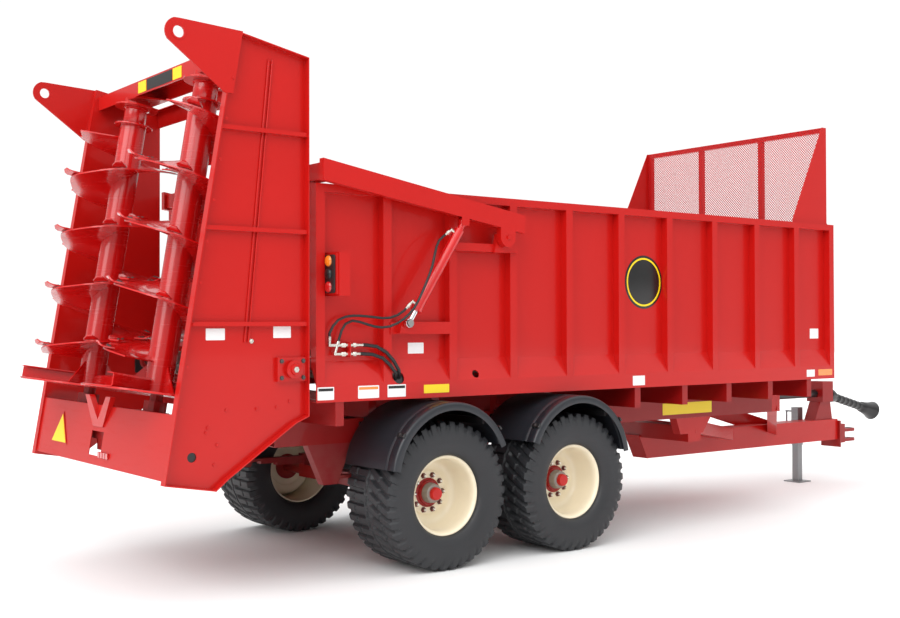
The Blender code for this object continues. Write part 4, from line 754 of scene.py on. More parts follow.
# -------------------------------------------------------------------- wheels
@dataclass
class Wheel:
    """A flotation tyre on a deep-dish rim with its hub."""

    row: Row
    side: Side
    radius: float = WHEEL_RADIUS
    width: float = 0.600
    rim_radius: float = 0.300
    tread_depth: float = 0.023
    lugs: int = 38
    nuts: int = 10
    nut_circle: float = 0.137
    steps_per_lug: int = 14
    disc_depth: float = 0.228
    well_depth: float = 0.236

    @property
    def lip(self) -> float:
        """Distance of the rim's outer lip from the wheel's middle."""
        return self.width / 2 * 0.80

    @property
    def centre(self) -> np.ndarray:
        """The hub's middle, from the tyre's own box."""
        low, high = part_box(f"tyre_{self.row.word}_{self.side.word}")
        return (np.array(low) + np.array(high)) / 2

    @property
    def body(self) -> str:
        """The body that turns."""
        return f"wheel_{self.row.word}_{self.side.word}"

    def section(self) -> np.ndarray:
        """The tyre's round-shouldered section, from one bead over the crown to the other.

        Returns:
            Rows of radius and distance from the wheel's middle.
        """
        half, bead, crown = self.width / 2, self.rim_radius, self.radius
        wall = smooth_line([(bead, half * 0.78), (bead + 0.016, half * 0.90), (bead + 0.070, half * 0.985),
                            (bead + 0.135, half), (crown - 0.060, half * 0.985),
                            (crown - 0.020, half * 0.93)], 5)
        across = np.linspace(0.90, -0.90, 61)
        crowned = crown - 0.010 * across ** 6
        tread = np.column_stack([crowned, across * half])
        other = wall[::-1] * [1, -1]
        return np.vstack([wall, tread, other])

    def tyre(self) -> Shape:
        """A block tread cut into the section.

        The radius falls by the tread's depth in the grooves between the lugs,
        which run straight across the inner half and slant over the outer
        shoulder, and in a zigzag groove round the middle; each groove has
        sloping walls.

        Returns:
            The tyre's surface.
        """
        radius, along = self.section().T
        steps = self.lugs * self.steps_per_lug
        angle = np.linspace(0, 2 * np.pi, steps, endpoint=False)[:, None]
        v = along / (self.width / 2)
        turn = angle * self.lugs / (2 * np.pi)
        slant = turn - np.where(v > 0, 1.7 * v, 0.15 * v) + 0.5 * (v > 0)
        wave = np.abs((slant % 1.0) - 0.5) * 2
        off_middle = np.clip((np.abs(v) - 0.10) / 0.06, 0, 1)
        cross_cut = np.clip((0.46 - wave) / 0.14, 0, 1) * off_middle
        zigzag = 0.05 * (2 * np.abs((turn % 1.0) - 0.5) - 0.5)
        middle_cut = np.clip((0.035 - np.abs(v - zigzag)) / 0.02, 0, 1)
        shoulder_cut = np.clip((0.030 - np.abs(np.abs(v) - 0.52 - zigzag)) / 0.02, 0, 1)
        cut = np.maximum(np.maximum(cross_cut, 0.8 * middle_cut), 0.7 * shoulder_cut)
        on_tread = np.clip((radius - (self.radius - 0.110)) / 0.060, 0, 1)
        deep = radius - self.tread_depth * cut * on_tread
        local = np.stack([deep * np.cos(angle), deep * np.sin(angle), along + 0 * angle], -1)
        points = local.reshape(-1, 3) @ axes_for((0, self.side.value, 0)).T + self.centre
        return Shape(points, grid_faces(steps, len(radius), True, True))

    def rim(self) -> Shape:
        """The dished rim: a pressed profile spun about the axle, with its back face 9 mm behind.

        Returns:
            The rim's surface.
        """
        out = self.lip
        lip = self.rim_radius
        front = smooth_line([(lip - 0.004, out - 0.010), (lip + 0.004, out), (lip - 0.006, out + 0.004),
                             (lip - 0.022, out - 0.014), (lip - 0.030, out - 0.050),
                             (lip - 0.032, out - 0.130),
                             (lip - 0.046, out - 0.205), (lip - 0.075, out - 0.235),
                             (0.180, out - self.well_depth), (0.160, out - self.disc_depth),
                             (0.110, out - self.disc_depth)], 6)
        back = front[::-1] + [0.0, -0.009]
        barrel = np.array([(lip - 0.012, -out), (lip - 0.002, -out)])
        profile = np.vstack([front, back[:-30], barrel])
        return revolved(profile, self.centre, (0, self.side.value, 0), 96, True)

    def hub_parts(self) -> tuple[Shape, Shape, Shape]:
        """The red flange, the grey drum and the red cap, each a turned profile.

        Returns:
            The flange, the drum and the cap.
        """
        base = self.lip - self.well_depth
        outward = (0, self.side.value, 0)
        flange = [(0.0, base - 0.02), (0.112, base - 0.02), (0.112, base + 0.012), (0.098, base + 0.017),
                  (0.092, base + 0.034), (0.0, base + 0.036)]
        drum = [(0.0, base + 0.020), (0.078, base + 0.020), (0.076, base + 0.060), (0.070, base + 0.094),
                (0.060, base + 0.102), (0.0, base + 0.102)]
        cap = [(0.0, base + 0.090), (0.050, base + 0.090), (0.050, base + 0.122), (0.044, base + 0.134),
               (0.0, base + 0.138)]
        return tuple(revolved(profile, self.centre, outward, 64) for profile in (flange, drum, cap))

    def nut_centres(self, circle: float, height: float) -> np.ndarray:
        """Evenly spaced places round the axle.

        Args:
            circle: Distance from the axle.
            height: Distance outwards from the wheel's middle.

        Returns:
            One row for each nut.
        """
        angle = np.linspace(0, 2 * np.pi, self.nuts, endpoint=False)[:, None]
        x = self.centre + np.hstack([circle * np.cos(angle), 0 * angle, circle * np.sin(angle)])
        return x + np.array([0, self.side.value * height, 0])

    def build(self) -> None:
        """Makes the tyre, rim, hub, nuts and studs."""
        tag = f"{self.row.word}_{self.side.word}"
        base = self.lip - self.disc_depth
        outward = (0, self.side.value, 0)
        tyre = piece(f"tread_{tag}", self.tyre(), TYRE, self.body, 30)
        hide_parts(f"tyre_{tag}")
        rim = piece(f"dish_{tag}", self.rim(), CREAM, self.body)
        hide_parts(f"rim_{tag}")
        flange, drum, cap = self.hub_parts()
        # The hub's flange takes the same darker red, which is partly painted shade.
        piece(f"hub_{tag}", flange, SHADED_CHASSIS_RED, self.body)
        piece(f"hub_drum_{tag}", drum, CAST_GREY, self.body)
        piece(f"hub_cap_{tag}", cap, RED, self.body)
        piece(f"nuts_{tag}", bolt_heads(self.nut_centres(self.nut_circle, base), outward, 0.017, 0.024),
              NUT_RED, self.body, 25)
        studs = bolt_heads(self.nut_centres(self.nut_circle, base + 0.0238), outward, 0.008, 0.012)
        piece(f"studs_{tag}", studs, FITTING, self.body, 25)


@dataclass
class Fenders:
    """Two arched fenders on one side, smooth on top, with a raised outer band and a skirt."""

    side: Side
    radius: float = 0.555
    lift: float = 0.155
    inner: float = 0.770
    outer: float = 1.435
    sheet: float = 0.008
    clamp_angles: tuple[float, float] = (144.0, 37.0)

    @property
    def hub_height(self) -> float:
        """Height of the middle of both arches."""
        return WHEEL_RADIUS + self.lift

    def arch(self, row: Row, start: float, end: float) -> Shape:
        """One arch: P(a, s) = centre + (R - d(s))(cos a, sin a) at y(s), where d drops into the lip.

        Args:
            row: The axle below.
            start: Angle of the rear end in degrees.
            end: Angle of the front end in degrees.

        Returns:
            The moulded sheet.
        """
        angle = np.radians(np.linspace(start, end, 57))[:, None]
        across = np.array([0.0, 0.03, 0.40, 0.80, 0.840, 0.850, 0.862, 0.872, 0.960, 0.978, 0.992, 1.0,
                           1.0, 0.997])
        drop = np.array([.006, 0, 0, 0, 0, .007, .007, 0, 0, .002, .008, .020, .052, .062])
        y = self.inner + across * (self.outer - self.inner)
        reach = self.radius - drop
        hub = at(row.value, 0, self.hub_height)
        surface = np.stack([hub[0] + reach * np.cos(angle), y + 0 * angle,
                            hub[2] + reach * np.sin(angle)], -1)
        return shell(surface, -self.sheet)

    def clamps(self) -> tuple[Shape, Shape]:
        """Two clamps and their bolts on the outer band of each arch.

        Returns:
            The clamps and the bolt heads.
        """
        plates, bolts = [], []
        y = self.outer - 0.045
        for row in Row:
            for angle in np.radians(self.clamp_angles):
                out = np.array([math.cos(angle), 0, math.sin(angle)])
                hub = at(row.value, y, self.hub_height)
                across = (math.sin(angle), 0, -math.cos(angle))
                plates.append(slab(hub + out * self.radius, across, (0, 1, 0), 0.034, 0.085, 0.016, 0.004))
                bolts.append(bolt_heads((hub + out * (self.radius + 0.0155))[None], out, 0.011, 0.010))
        return joined(plates), joined(bolts)

    def brackets(self) -> Shape:
        """The bars that carry both arches from the frame rail.

        Returns:
            All the bars as one surface.
        """
        shapes = []
        for row in Row:
            for offset in (-0.34, 0.34):
                shapes.append(slab(at(row.value + offset, 1.06, 1.085), (0, 1, 0), (-1, 0, 0), 0.63, 0.040,
                                   0.050))
            shapes.append(slab(at(row.value, 0.756, 1.080), (1, 0, 0), (0, 0, 1), 0.80, 0.040, 0.030))
        between = (Row.REAR.value + Row.FRONT.value) / 2
        shapes.append(slab(at(between, 0.756, 1.060), (1, 0, 0), (0, 0, 1), 0.46, 0.040, 0.030))
        return joined(shapes)

    def build(self) -> None:
        """Makes both arches, their brackets, clamps and bolts."""
        shape = self.arch(Row.REAR, 172, 22) + self.arch(Row.FRONT, 158, 8)
        frames = self.brackets()
        plates, bolts = self.clamps()
        if self.side is Side.RIGHT:
            shape, frames, plates, bolts = (each.mirrored() for each in (shape, frames, plates, bolts))
        made = piece(f"fender_arches_{self.side.word}", shape, FENDER, "chassis", 50)
        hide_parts(f"fenders_{self.side.word}")
        piece(f"fender_brackets_{self.side.word}", frames, BLACK_GUARD, "chassis")
        piece(f"fender_clamps_{self.side.word}", plates, BLACK_GUARD, "chassis")
        piece(f"fender_bolts_{self.side.word}", bolts, DARK_BOLT, "chassis", 25)


# ------------------------------------------------------------------- beaters
@dataclass
class Beater:
    """An upright screw: tube, helical flight with bolted teeth, spinner disc and paddles."""

    side: Side
    foot_x: float = -0.922
    foot_z: float = 1.375
    offset: float = 0.635
    lean: float = LEAN
    length: float = 2.110
    bare_top: float = 0.110
    tube: float = 0.100
    flight: float = 0.420
    pitch: float = 0.446
    phase: float = math.radians(152)
    teeth: int = 6
    disc: float = 0.520
    paddles: int = 3
    first_flight: float = 0.215
    bearing_height: float = 2.241

    @property
    def turns(self) -> float:
        """Whole and part turns of the flight."""
        return (self.length - self.bare_top - self.first_flight) / self.pitch

    def helicoid(self) -> Shape:
        """The flight: P(t, r) = (r cos a, r sin a, z0 + pitch t), a = phase + 2 pi t.

        Its outer edge swells a little at each tooth, so it looks wavy.

        Returns:
            The flight as a closed sheet.
        """
        t = np.linspace(0, self.turns, int(self.turns * 72))[:, None]
        part = np.linspace(0, 1, 5)[None]
        swell = 0.012 * np.cos(2 * np.pi * self.teeth * (t - 0.5 / self.teeth))
        radius = self.tube - 0.004 + part * (self.flight - self.tube - 0.008 + swell)
        angle = self.phase + 2 * np.pi * t
        surface = np.stack([radius * np.cos(angle), radius * np.sin(angle),
                            self.first_flight + self.pitch * t + 0 * part], -1)
        return shell(surface, 0.010)

    def tooth_places(self) -> np.ndarray:
        """The turn at which each tooth stands."""
        count = int(self.turns * self.teeth)
        return (np.arange(count) + 0.5) / self.teeth

    def tooth_parts(self) -> tuple[Shape, Shape]:
        """The upturned teeth and their bolts, each carried round the helix.

        Returns:
            The teeth and the bolt heads.
        """
        blades, bolts = [], []
        slope = math.atan(self.pitch / (2 * math.pi * self.flight))
        for t in self.tooth_places():
            angle = self.phase + 2 * math.pi * t
            turn = np.array(Matrix.Rotation(angle, 3, "Z") @ Matrix.Rotation(slope, 3, "X"))
            reach = np.array([0.370, 0.445, 0.470, 0.487])
            rise = np.array([0.0, 0.0, 0.008, 0.026])
            half = np.array([0.052, 0.050, 0.040, 0.018])
            part = np.linspace(-1, 1, 5)[None]
            sheet_top = np.stack([reach[:, None] + 0 * part, half[:, None] * part,
                                  rise[:, None] + 0 * part], -1)
            shift = np.array([0, 0, self.first_flight + self.pitch * t + 0.011])
            blades.append(shell(sheet_top, 0.010).moved(turn, shift))
            pair = np.array([(0.395, -0.022, 0.010), (0.395, 0.022, 0.010)])
            bolts.append(bolt_heads(pair, (0, 0, 1), 0.010, 0.008).moved(turn, shift))
        return joined(blades), joined(bolts)

    def paddle_parts(self) -> Shape:
        """C-section paddles and triangular gussets standing on the disc.

        Returns:
            All of them as one surface.
        """
        shapes = []
        outline = np.array([(0.062, 0.004), (0.006, 0.004), (0.001, 0.010), (0.001, 0.080), (0.006, 0.086),
                            (0.062, 0.086)])
        for index in range(self.paddles):
            angle = math.radians(148) + 2 * math.pi * index / self.paddles
            reach = np.linspace(self.tube - 0.008, self.disc + 0.008, 6)[:, None]
            taper = np.array([1, 1, 1, 1, 0.96, 0.80])[:, None]
            surface = np.stack([reach + 0 * outline[:, 0], outline[:, 0] * taper,
                                outline[:, 1] + 0 * reach], -1)
            turn = np.array(Matrix.Rotation(angle, 3, "Z"))
            shapes.append(shell(surface, 0.007).moved(turn, np.zeros(3)))
            lean = np.array(Matrix.Rotation(angle + math.radians(60), 3, "Z"))
            u = np.linspace(0, 1, 5)[:, None]
            v = np.linspace(0, 1, 5)[None]
            gusset = np.stack([self.tube - 0.008 + 0.165 * v * (1 - 0.97 * u), -0.005 + 0 * (u + v),
                               0.188 * u + 0 * v], -1)
            shapes.append(shell(gusset, 0.010).moved(lean, np.zeros(3)))
        return joined(shapes)

    def core(self) -> Shape:
        """The tube, the disc and the top flange as turned profiles.

        Returns:
            The three as one surface.
        """
        start = np.zeros(3)
        tube = revolved([(0, 0), (self.tube, 0), (self.tube, self.length - 0.001), (0, self.length - 0.001)],
                        start, (0, 0, 1), 64)
        disc = revolved([(0, -0.0138), (self.disc - 0.002, -0.0138), (self.disc, -0.012), (self.disc, -0.002),
                         (self.disc - 0.002, 0), (0, 0)], start, (0, 0, 1), 96)
        top = self.length - 0.022
        flange = revolved([(0.09, top), (0.148, top), (0.150, top + 0.002), (0.150, top + 0.010),
                           (0.148, top + 0.012), (0.09, top + 0.012)], start, (0, 0, 1), 48, True)
        return tube + disc + flange

    def sleeve(self) -> Shape:
        """The bearing housing round the neck, from the tube's end to the top bearing's disc.

        Returns:
            The turned housing.
        """
        low, high = self.length + 0.003, self.bearing_height
        profile = [(0.043, low), (0.086, low), (0.088, low + 0.003), (0.088, high - 0.018),
                   (0.102, high - 0.010), (0.102, high - 0.001), (0.043, high - 0.001)]
        return revolved(profile, np.zeros(3), (0, 0, 1), 48, True)

    def placed(self, shape: Shape) -> Shape:
        """A part of the left beater, leant and put in place on this side.

        Args:
            shape: The part, upright, with the disc's middle at the origin.

        Returns:
            The part in the frame's coordinates.
        """
        lean = np.array(Matrix.Rotation(self.lean, 3, "Y"))
        set_up = shape.moved(lean, at(self.foot_x, self.offset, self.foot_z))
        return set_up.mirrored() if self.side is Side.RIGHT else set_up

    def build(self) -> None:
        """Makes the tube, flight, teeth, paddles, bolts and the bearing's sleeve."""
        tag = self.side.word
        body = f"beater_rotor_{tag}"
        blades, bolts = self.tooth_parts()
        core = piece(f"beater_core_{tag}", self.placed(self.core()), BEATER_RED, body)
        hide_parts(f"beater_{tag}")
        piece(f"flight_{tag}", self.placed(self.helicoid()), BEATER_RED, body, 45)
        piece(f"teeth_{tag}", self.placed(blades), BEATER_RED, body, 30)
        piece(f"tooth_bolts_{tag}", self.placed(bolts), DARK_BOLT, body, 25)
        piece(f"paddles_{tag}", self.placed(self.paddle_parts()), BEATER_RED, body, 30)
        ring = np.radians(np.arange(0, 360, 45))
        flange = np.column_stack([0.126 * np.cos(ring), 0.126 * np.sin(ring),
                                  np.full(len(ring), self.length - 0.0105)])
        piece(f"bearing_sleeve_{tag}", self.placed(self.sleeve()), BEATER_RED, "chassis")
        heads = self.placed(bolt_heads(flange, (0, 0, 1), 0.009, 0.008))
        piece(f"flange_bolts_{tag}", heads, DARK_BOLT, body, 25)


# ----------------------------------------------------------- gate cylinders
HIGH_ELBOW: Point = (-0.060, 0.0, -0.040)
LOW_ELBOW: Point = (-0.060, 0.0, -0.054)


@dataclass
class GateCylinder:
    """A lift cylinder: barrel with gland and ports on one body, rod with its eye and pin on another."""

    side: Side
    top: tuple[float, float] = (1.249, 2.630)
    foot: tuple[float, float] = (0.735, 1.859)
    y: float = 1.3345
    barrel: float = 0.038
    barrel_length: float = 0.815
    rod: float = 0.019
    upper_port: float = 0.120
    lower_port: float = 0.775
    port_reach: float = 0.062

    @property
    def along(self) -> np.ndarray:
        """From the top eye towards the foot eye."""
        line = np.array([self.foot[0] - self.top[0], 0, self.foot[1] - self.top[1]])
        return line / np.linalg.norm(line)

    @property
    def port_side(self) -> np.ndarray:
        """The side of the barrel that carries the ports."""
        return np.array([self.along[2], 0, -self.along[0]])

    def mouth(self, port: float, elbow: Sequence[float]) -> tuple[np.ndarray, np.ndarray]:
        """A port's boss end and its elbow's mouth.

        Args:
            port: Its distance from the top eye.
            elbow: The elbow's run.

        Returns:
            The two points.
        """
        top = at(self.top[0], self.side.value * self.y, self.top[1])
        end = top + self.along * port + self.port_side * self.port_reach
        return end, end + np.array(elbow)

    def eye(self, centre: np.ndarray, radius: float) -> Shape:
        """A pierced eye with broken edges, spun about its pin's line.

        Args:
            centre: The eye's middle.
            radius: Its outer radius.

        Returns:
            The eye's surface.
        """
        bore, half, edge = 0.0165, 0.018, 0.002
        profile = [(bore, -half), (radius - edge, -half), (radius, edge - half), (radius, half - edge),
                   (radius - edge, half), (bore, half)]
        return revolved(profile, centre, (0, self.side.value, 0), 40, True)

    def build(self) -> None:
        """Makes the barrel, its ports, the rod and the foot pin."""
        tag = self.side.word
        y = self.side.value * self.y
        top, foot = at(self.top[0], y, self.top[1]), at(self.foot[0], y, self.foot[1])
        across = np.array([0.0, self.side.value, 0.0])
        r, end = self.barrel, self.barrel_length
        profile = [(self.rod + 0.001, 0.30), (self.rod + 0.001, end + 0.005), (r - 0.006, end + 0.005),
                   (r + 0.004, end + 0.002), (r + 0.004, end - 0.040), (r, end - 0.043), (r, 0.078),
                   (r - 0.008, 0.070), (0.0, 0.070), (0.0, 0.30)]
        barrel = revolved(profile, top, self.along, 48, True)
        eye = self.eye(top, 0.036)
        neck = bar(top + self.along * 0.028, top + self.along * 0.085, 0.024)
        body = piece(f"barrel_{tag}", barrel + eye + neck, CYLINDER_RED, f"cylinder_{tag}")
        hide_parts(f"gate_cylinder_{tag}")
        ports = []
        for port, elbow in ((self.upper_port, HIGH_ELBOW), (self.lower_port, LOW_ELBOW)):
            boss, mouth = self.mouth(port, elbow)
            start = boss - self.port_side * 0.030
            run = mouth - boss
            ports += [bar(start, boss + self.port_side * 0.010, 0.012), bar(boss, mouth, 0.0105),
                      bar(boss + run * 0.35, boss + run * 0.75, 0.016, 6)]
        piece(f"ports_{tag}", joined(ports), FITTING, f"cylinder_{tag}")
        stem = bar(top + self.along * 0.320, foot - self.along * 0.020, self.rod, 40)
        rod = piece(f"rod_stem_{tag}", stem + self.eye(foot, 0.034), CHROME, f"rod_{tag}")
        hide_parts(f"gate_rod_{tag}")
        pin = bar(foot - across * 0.022, foot + across * 0.026, 0.015, 32)
        washer = bar(foot + across * 0.024, foot + across * 0.030, 0.026, 32)
        piece(f"foot_pin_{tag}", pin + washer, SHAFT_STEEL, f"rod_{tag}")


# ---------------------------------------------------------------- hydraulics
@dataclass(frozen=True)
class HoseRoute:
    """A hose's chosen points on a side wall, as (x, out from the ribs' face, z)."""

    name: str
    mouth: Point
    points: tuple[Point, ...]
    radius: float
    foot: tuple[float, float] | None = None
    port: float = 0.0
    elbow: Point = (0.0, 0.0, 0.0)


ROUTES: tuple[HoseRoute, ...] = (
    HoseRoute("hose_supply_upper", (0.412, -0.030, 1.701),
              ((0.490, -0.020, 1.697), (0.550, 0.014, 1.671), (0.628, 0.024, 1.604), (0.690, 0.024, 1.518),
               (0.726, -0.010, 1.470), (0.738, -0.060, 1.440), (0.742, -0.110, 1.425)), 0.0135),
    HoseRoute("hose_supply_lower", (0.386, -0.030, 1.637),
              ((0.480, -0.022, 1.633), (0.545, 0.012, 1.610), (0.600, 0.024, 1.566), (0.662, 0.022, 1.500),
               (0.694, -0.012, 1.456), (0.704, -0.060, 1.425), (0.706, -0.110, 1.410)), 0.0135),
    HoseRoute("hose_cylinder_low", (0.128, -0.030, 1.765),
              ((0.140, -0.030, 1.812), (0.185, -0.022, 1.875), (0.260, 0.000, 1.909), (0.355, 0.015, 1.913),
               (0.461, 0.030, 1.904), (0.552, 0.044, 1.895), (0.610, 0.068, 1.904), (0.655, 0.088, 1.926)),
              0.0095, (0.128, 1.701), 0.775, LOW_ELBOW),
    HoseRoute("hose_cylinder_high", (0.203, -0.030, 1.730),
              ((0.218, -0.030, 1.772), (0.241, -0.028, 1.832), (0.285, -0.020, 1.872), (0.335, -0.005, 1.876),
               (0.406, 0.014, 1.855), (0.480, 0.032, 1.834), (0.560, 0.064, 1.830), (0.634, 0.110, 1.865),
               (0.702, 0.146, 1.926), (0.752, 0.158, 1.990), (0.796, 0.160, 2.064), (0.846, 0.160, 2.158),
               (0.902, 0.158, 2.280), (0.944, 0.136, 2.380), (0.995, 0.107, 2.465)),
              0.0095, (0.172, 1.637), 0.120, HIGH_ELBOW),
)


@dataclass
class Hydraulics:
    """The steel pipes on a side wall, their collars and clamps, the boot and the hoses."""

    side: Side
    face: float = 1.240
    lead: float = 0.022
    gap: float = 0.0003
    inset: float = 0.030
    wall: float = 1.1703
    strip_normal: Point = (0.0, 0.9206, 0.3906)
    hose_hole: Point = (0.716, 1.2247, 1.458)

    def route(self, hose: HoseRoute) -> np.ndarray:
        """The hose's points from its fitting to the port or into the wall.

        Args:
            hose: The route.

        Returns:
            Points an even distance apart.
        """
        first = np.array(hose.mouth)
        line = [np.array(point) for point in hose.points]
        start, last = np.array([1.0, 0, 0]), []
        if hose.foot is not None:
            start = np.array([first[0] - hose.foot[0], 0, first[2] - hose.foot[1]])
            start /= np.linalg.norm(start)
            cylinder = GateCylinder(Side.LEFT)
            boss, mouth = cylinder.mouth(hose.port, hose.elbow)
            leave = (mouth - boss) / np.linalg.norm(mouth - boss)
            place = mouth - np.array([REAR_X, self.face, 0])
            line.append(place + leave * (self.lead + self.gap))
            last = [place + leave * self.gap]
        begin = first + start * self.gap
        dense = smooth_line(np.array([begin + start * self.lead] + line), 24)
        run = np.concatenate([[0], np.cumsum(np.linalg.norm(np.diff(dense, axis=0), axis=1))])
        count = max(int(round(run[-1] / (6 * hose.radius))), 3)
        stops = np.linspace(0, run[-1], count + 1)
        even = np.column_stack([np.interp(stops, run, dense[:, k]) for k in range(3)])
        points = np.vstack([begin, even] + last)
        return np.column_stack([points[:, 0] + REAR_X, self.side.value * (self.face + points[:, 1]),
                                points[:, 2]])

    def hose(self, hose: HoseRoute) -> None:
        """Args:
            hose: The route.
        """
        points = self.route(hose)
        name = f"{hose.name}_{self.side.word}"
        curve = bpy.data.curves.new(f"run_{name}", "CURVE")
        curve.dimensions = "3D"
        curve.bevel_depth = hose.radius
        curve.bevel_resolution = 4
        curve.use_fill_caps = True
        spline = curve.splines.new("POLY")
        spline.points.add(len(points) - 1)
        spline.points.foreach_set("co", np.column_stack([points, np.ones(len(points))]).ravel())
        spline.use_smooth = True
        curve.materials.append(HOSE.material())
        made = bpy.data.objects.new(f"run_{name}", curve)
        bpy.context.scene.collection.objects.link(made)
        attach(made, "chassis")
        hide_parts(name)

    def build(self) -> None:
        """Makes the pipes, collars, clamps, the boot round the hoses' hole and the hoses."""
        y = self.side.value * (self.face - self.inset)
        wall = self.side.value * self.wall
        pipes, collars, clamps = [], [], []
        for hose, feed in zip(ROUTES[:2], ROUTES[2:]):
            foot = at(feed.foot[0], y, feed.foot[1])
            end = at(hose.mouth[0], y, hose.mouth[2])
            mouth = at(feed.mouth[0], y, feed.mouth[2])
            pipes += [bar(foot - [0.010, 0, 0], end, 0.0118), bar(foot, mouth, 0.0104)]
            collars += [bar(at(0.225, y, foot[2]), at(0.262, y, foot[2]), 0.0168, 6),
                        bar(at(0.325, y, foot[2]), at(0.350, y, foot[2]), 0.0168, 6),
                        bar(foot + (mouth - foot) * 0.55, mouth, 0.0135)]
            clamps.append(bar(at(0.276, y, foot[2]), at(0.287, y, foot[2]), 0.0175))
        plate_z = (ROUTES[0].mouth[2] + ROUTES[1].mouth[2]) / 2
        past = 0.018
        depth = abs(y) - self.wall + past
        bracket = slab(at(0.288, (wall + y + self.side.value * past) / 2, plate_z), (0, 1, 0), (0, 0, 1),
                       depth, 0.108, 0.012)
        made = piece(f"pipes_{self.side.word}", joined(pipes + collars), FITTING, "chassis")
        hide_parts(f"hose_fittings_{self.side.word}")
        piece(f"pipe_clamps_{self.side.word}", joined(clamps) + bracket, RED, "chassis")
        mirror = np.array([1.0, self.side.value, 1.0])
        out = np.array(self.strip_normal) * mirror
        hole = at(*(np.array(self.hose_hole) * mirror))
        boot = revolved([(0, 0), (0.064, 0), (0.060, 0.006), (0, 0.006)], hole - out * 0.014, -out, 48)
        piece(f"hose_boot_{self.side.word}", boot, BLACK_GUARD, "chassis")
        for hose in ROUTES:
            self.hose(hose)


# --------------------------------------------------------------- small trim
@dataclass
class TailLamp:
    """The bezel and three round lamps on the rear face of a lamp box."""

    side: Side
    y: float = 1.2825
    face_x: float = 0.0878
    height: float = 2.207
    step: float = 0.092

    def build(self) -> None:
        """Makes the bezel, lamps and bolts."""
        tag = self.side.word
        y = self.side.value * self.y
        back = (-1.0, 0.0, 0.0)
        bezel = slab(at(self.face_x, y, self.height), (0, -1, 0), (0, 0, 1), 0.150, 0.272, 0.012, 0.02)
        piece(f"lamp_bezel_{tag}", bezel, BLACK_GUARD, "chassis")
        lens = [(0.0, 0.020), (0.016, 0.019), (0.032, 0.014), (0.038, 0.008), (0.040, 0.0), (0.0, 0.0)]
        for word, step, finish in (("amber", 1, AMBER_LENS), ("black", 0, BLACK_FILM), ("red", -1, RED_LENS)):
            place = at(self.face_x - 0.0118, y, self.height + step * self.step)
            piece(f"lamp_{word}_{tag}", revolved(lens, place, back, 40), finish, "chassis", 60)
        bolts = np.array([at(0.087, self.side.value * 1.203, self.height + dz) for dz in (-0.11, 0.11)])
        piece(f"lamp_bolts_{tag}", bolt_heads(bolts, back, 0.007, 0.006), FITTING, "chassis", 25)


@dataclass
class Plates:
    """Blank film and plates on one side of the machine.

    Attributes:
        side: The side.
        thickness: A plate's thickness.
        rail: Lower and upper edge of the films on the rail.
        rail_ends: Both ends of each film on the rail.
        films: Name, ends, lower and upper edge, the face below and the finish of each other plate.
    """

    side: Side
    thickness: float = 0.0012
    rail: tuple[float, float] = (1.314, 1.406)
    rail_ends: tuple[tuple[float, float], ...] = ((0.010, 0.147), (0.350, 0.533), (0.608, 0.772))
    films: tuple[tuple[str, tuple[float, float], tuple[float, float], float, Finish], ...] = (
        ("reflector", (0.939, 1.178), (1.331, 1.395), 1.240, YELLOW_FILM),
        ("front_film", (5.640, 5.770), (1.322, 1.392), 1.240, WHITE_FILM),
        ("front_reflector", (5.830, 6.060), (1.330, 1.392), 1.240, AMBER_LENS),
        ("middle_film", (3.180, 3.330), (1.316, 1.400), 1.240, WHITE_FILM),
        ("wall_film", (0.841, 0.987), (1.630, 1.712), 1.170, WHITE_FILM),
        ("front_wall_film", (5.790, 5.930), (1.700, 1.800), 1.170, WHITE_FILM),
        ("housing_film_0", (-0.846, -0.707), (1.747, 1.825), 1.238, WHITE_FILM),
        ("housing_film_1", (-0.341, -0.203), (1.758, 1.838), 1.238, WHITE_FILM),
        ("beam_plate", (4.100, 4.800), (0.985, 1.095), 0.740, YELLOW_FILM))

    def on_plane(self, name: str, x: tuple[float, float], z: tuple[float, float], y: float,
                 finish: Finish) -> None:
        """A blank plate that faces outwards.

        Args:
            name: The plate's name.
            x: Its two ends along the machine.
            z: Its lower and upper edge.
            y: How far out the face below it lies.
            finish: What it is made of.
        """
        centre = at((x[0] + x[1]) / 2, self.side.value * (y + PROUD), (z[0] + z[1]) / 2)
        across = (-float(self.side.value), 0, 0)
        shape = slab(centre, across, (0, 0, 1), x[1] - x[0], z[1] - z[0], self.thickness, 0.005, 0.0003)
        piece(f"{name}_{self.side.word}", shape, finish, "chassis")

    def badge(self) -> None:
        """The round blank badge: a black disc with a yellow ring."""
        centre = at(3.394, self.side.value * 1.1702, 2.219)
        outward = (0, self.side.value, 0)
        disc = revolved([(0, 0), (0.235, 0), (0.235, 0.0008), (0.234, 0.0012), (0, 0.0012)], centre,
                        outward, 96)
        ring = revolved([(0.198, 0.0013), (0.214, 0.0013), (0.214, 0.0019), (0.198, 0.0019)], centre,
                        outward, 96, True)
        piece(f"badge_disc_{self.side.word}", disc, BLACK_FILM, "chassis")
        piece(f"badge_ring_{self.side.word}", ring, YELLOW_FILM, "chassis")

    def build(self) -> None:
        """Makes the rail's films with a coloured band on each, the other plates and the badge."""
        tag, sign = self.side.word, self.side.value
        low, high = self.rail[1] - 0.030, self.rail[1] - 0.008
        for index, ends in enumerate(self.rail_ends):
            self.on_plane(f"rail_film_{index}", ends, self.rail, 1.240, WHITE_FILM)
            band = (ends[0] + 0.008, ends[1] - 0.008)
            centre = at(sum(band) / 2, sign * 1.2415, (low + high) / 2)
            shape = slab(centre, (-float(sign), 0, 0), (0, 0, 1), band[1] - band[0], 0.020, 0.0006, 0.003,
                         0.0002)
            finish = AMBER_LENS if index == 1 else BLACK_FILM
            piece(f"rail_band_{index}_{tag}", shape, finish, "chassis")
        for film in self.films:
            self.on_plane(*film)
        self.badge()


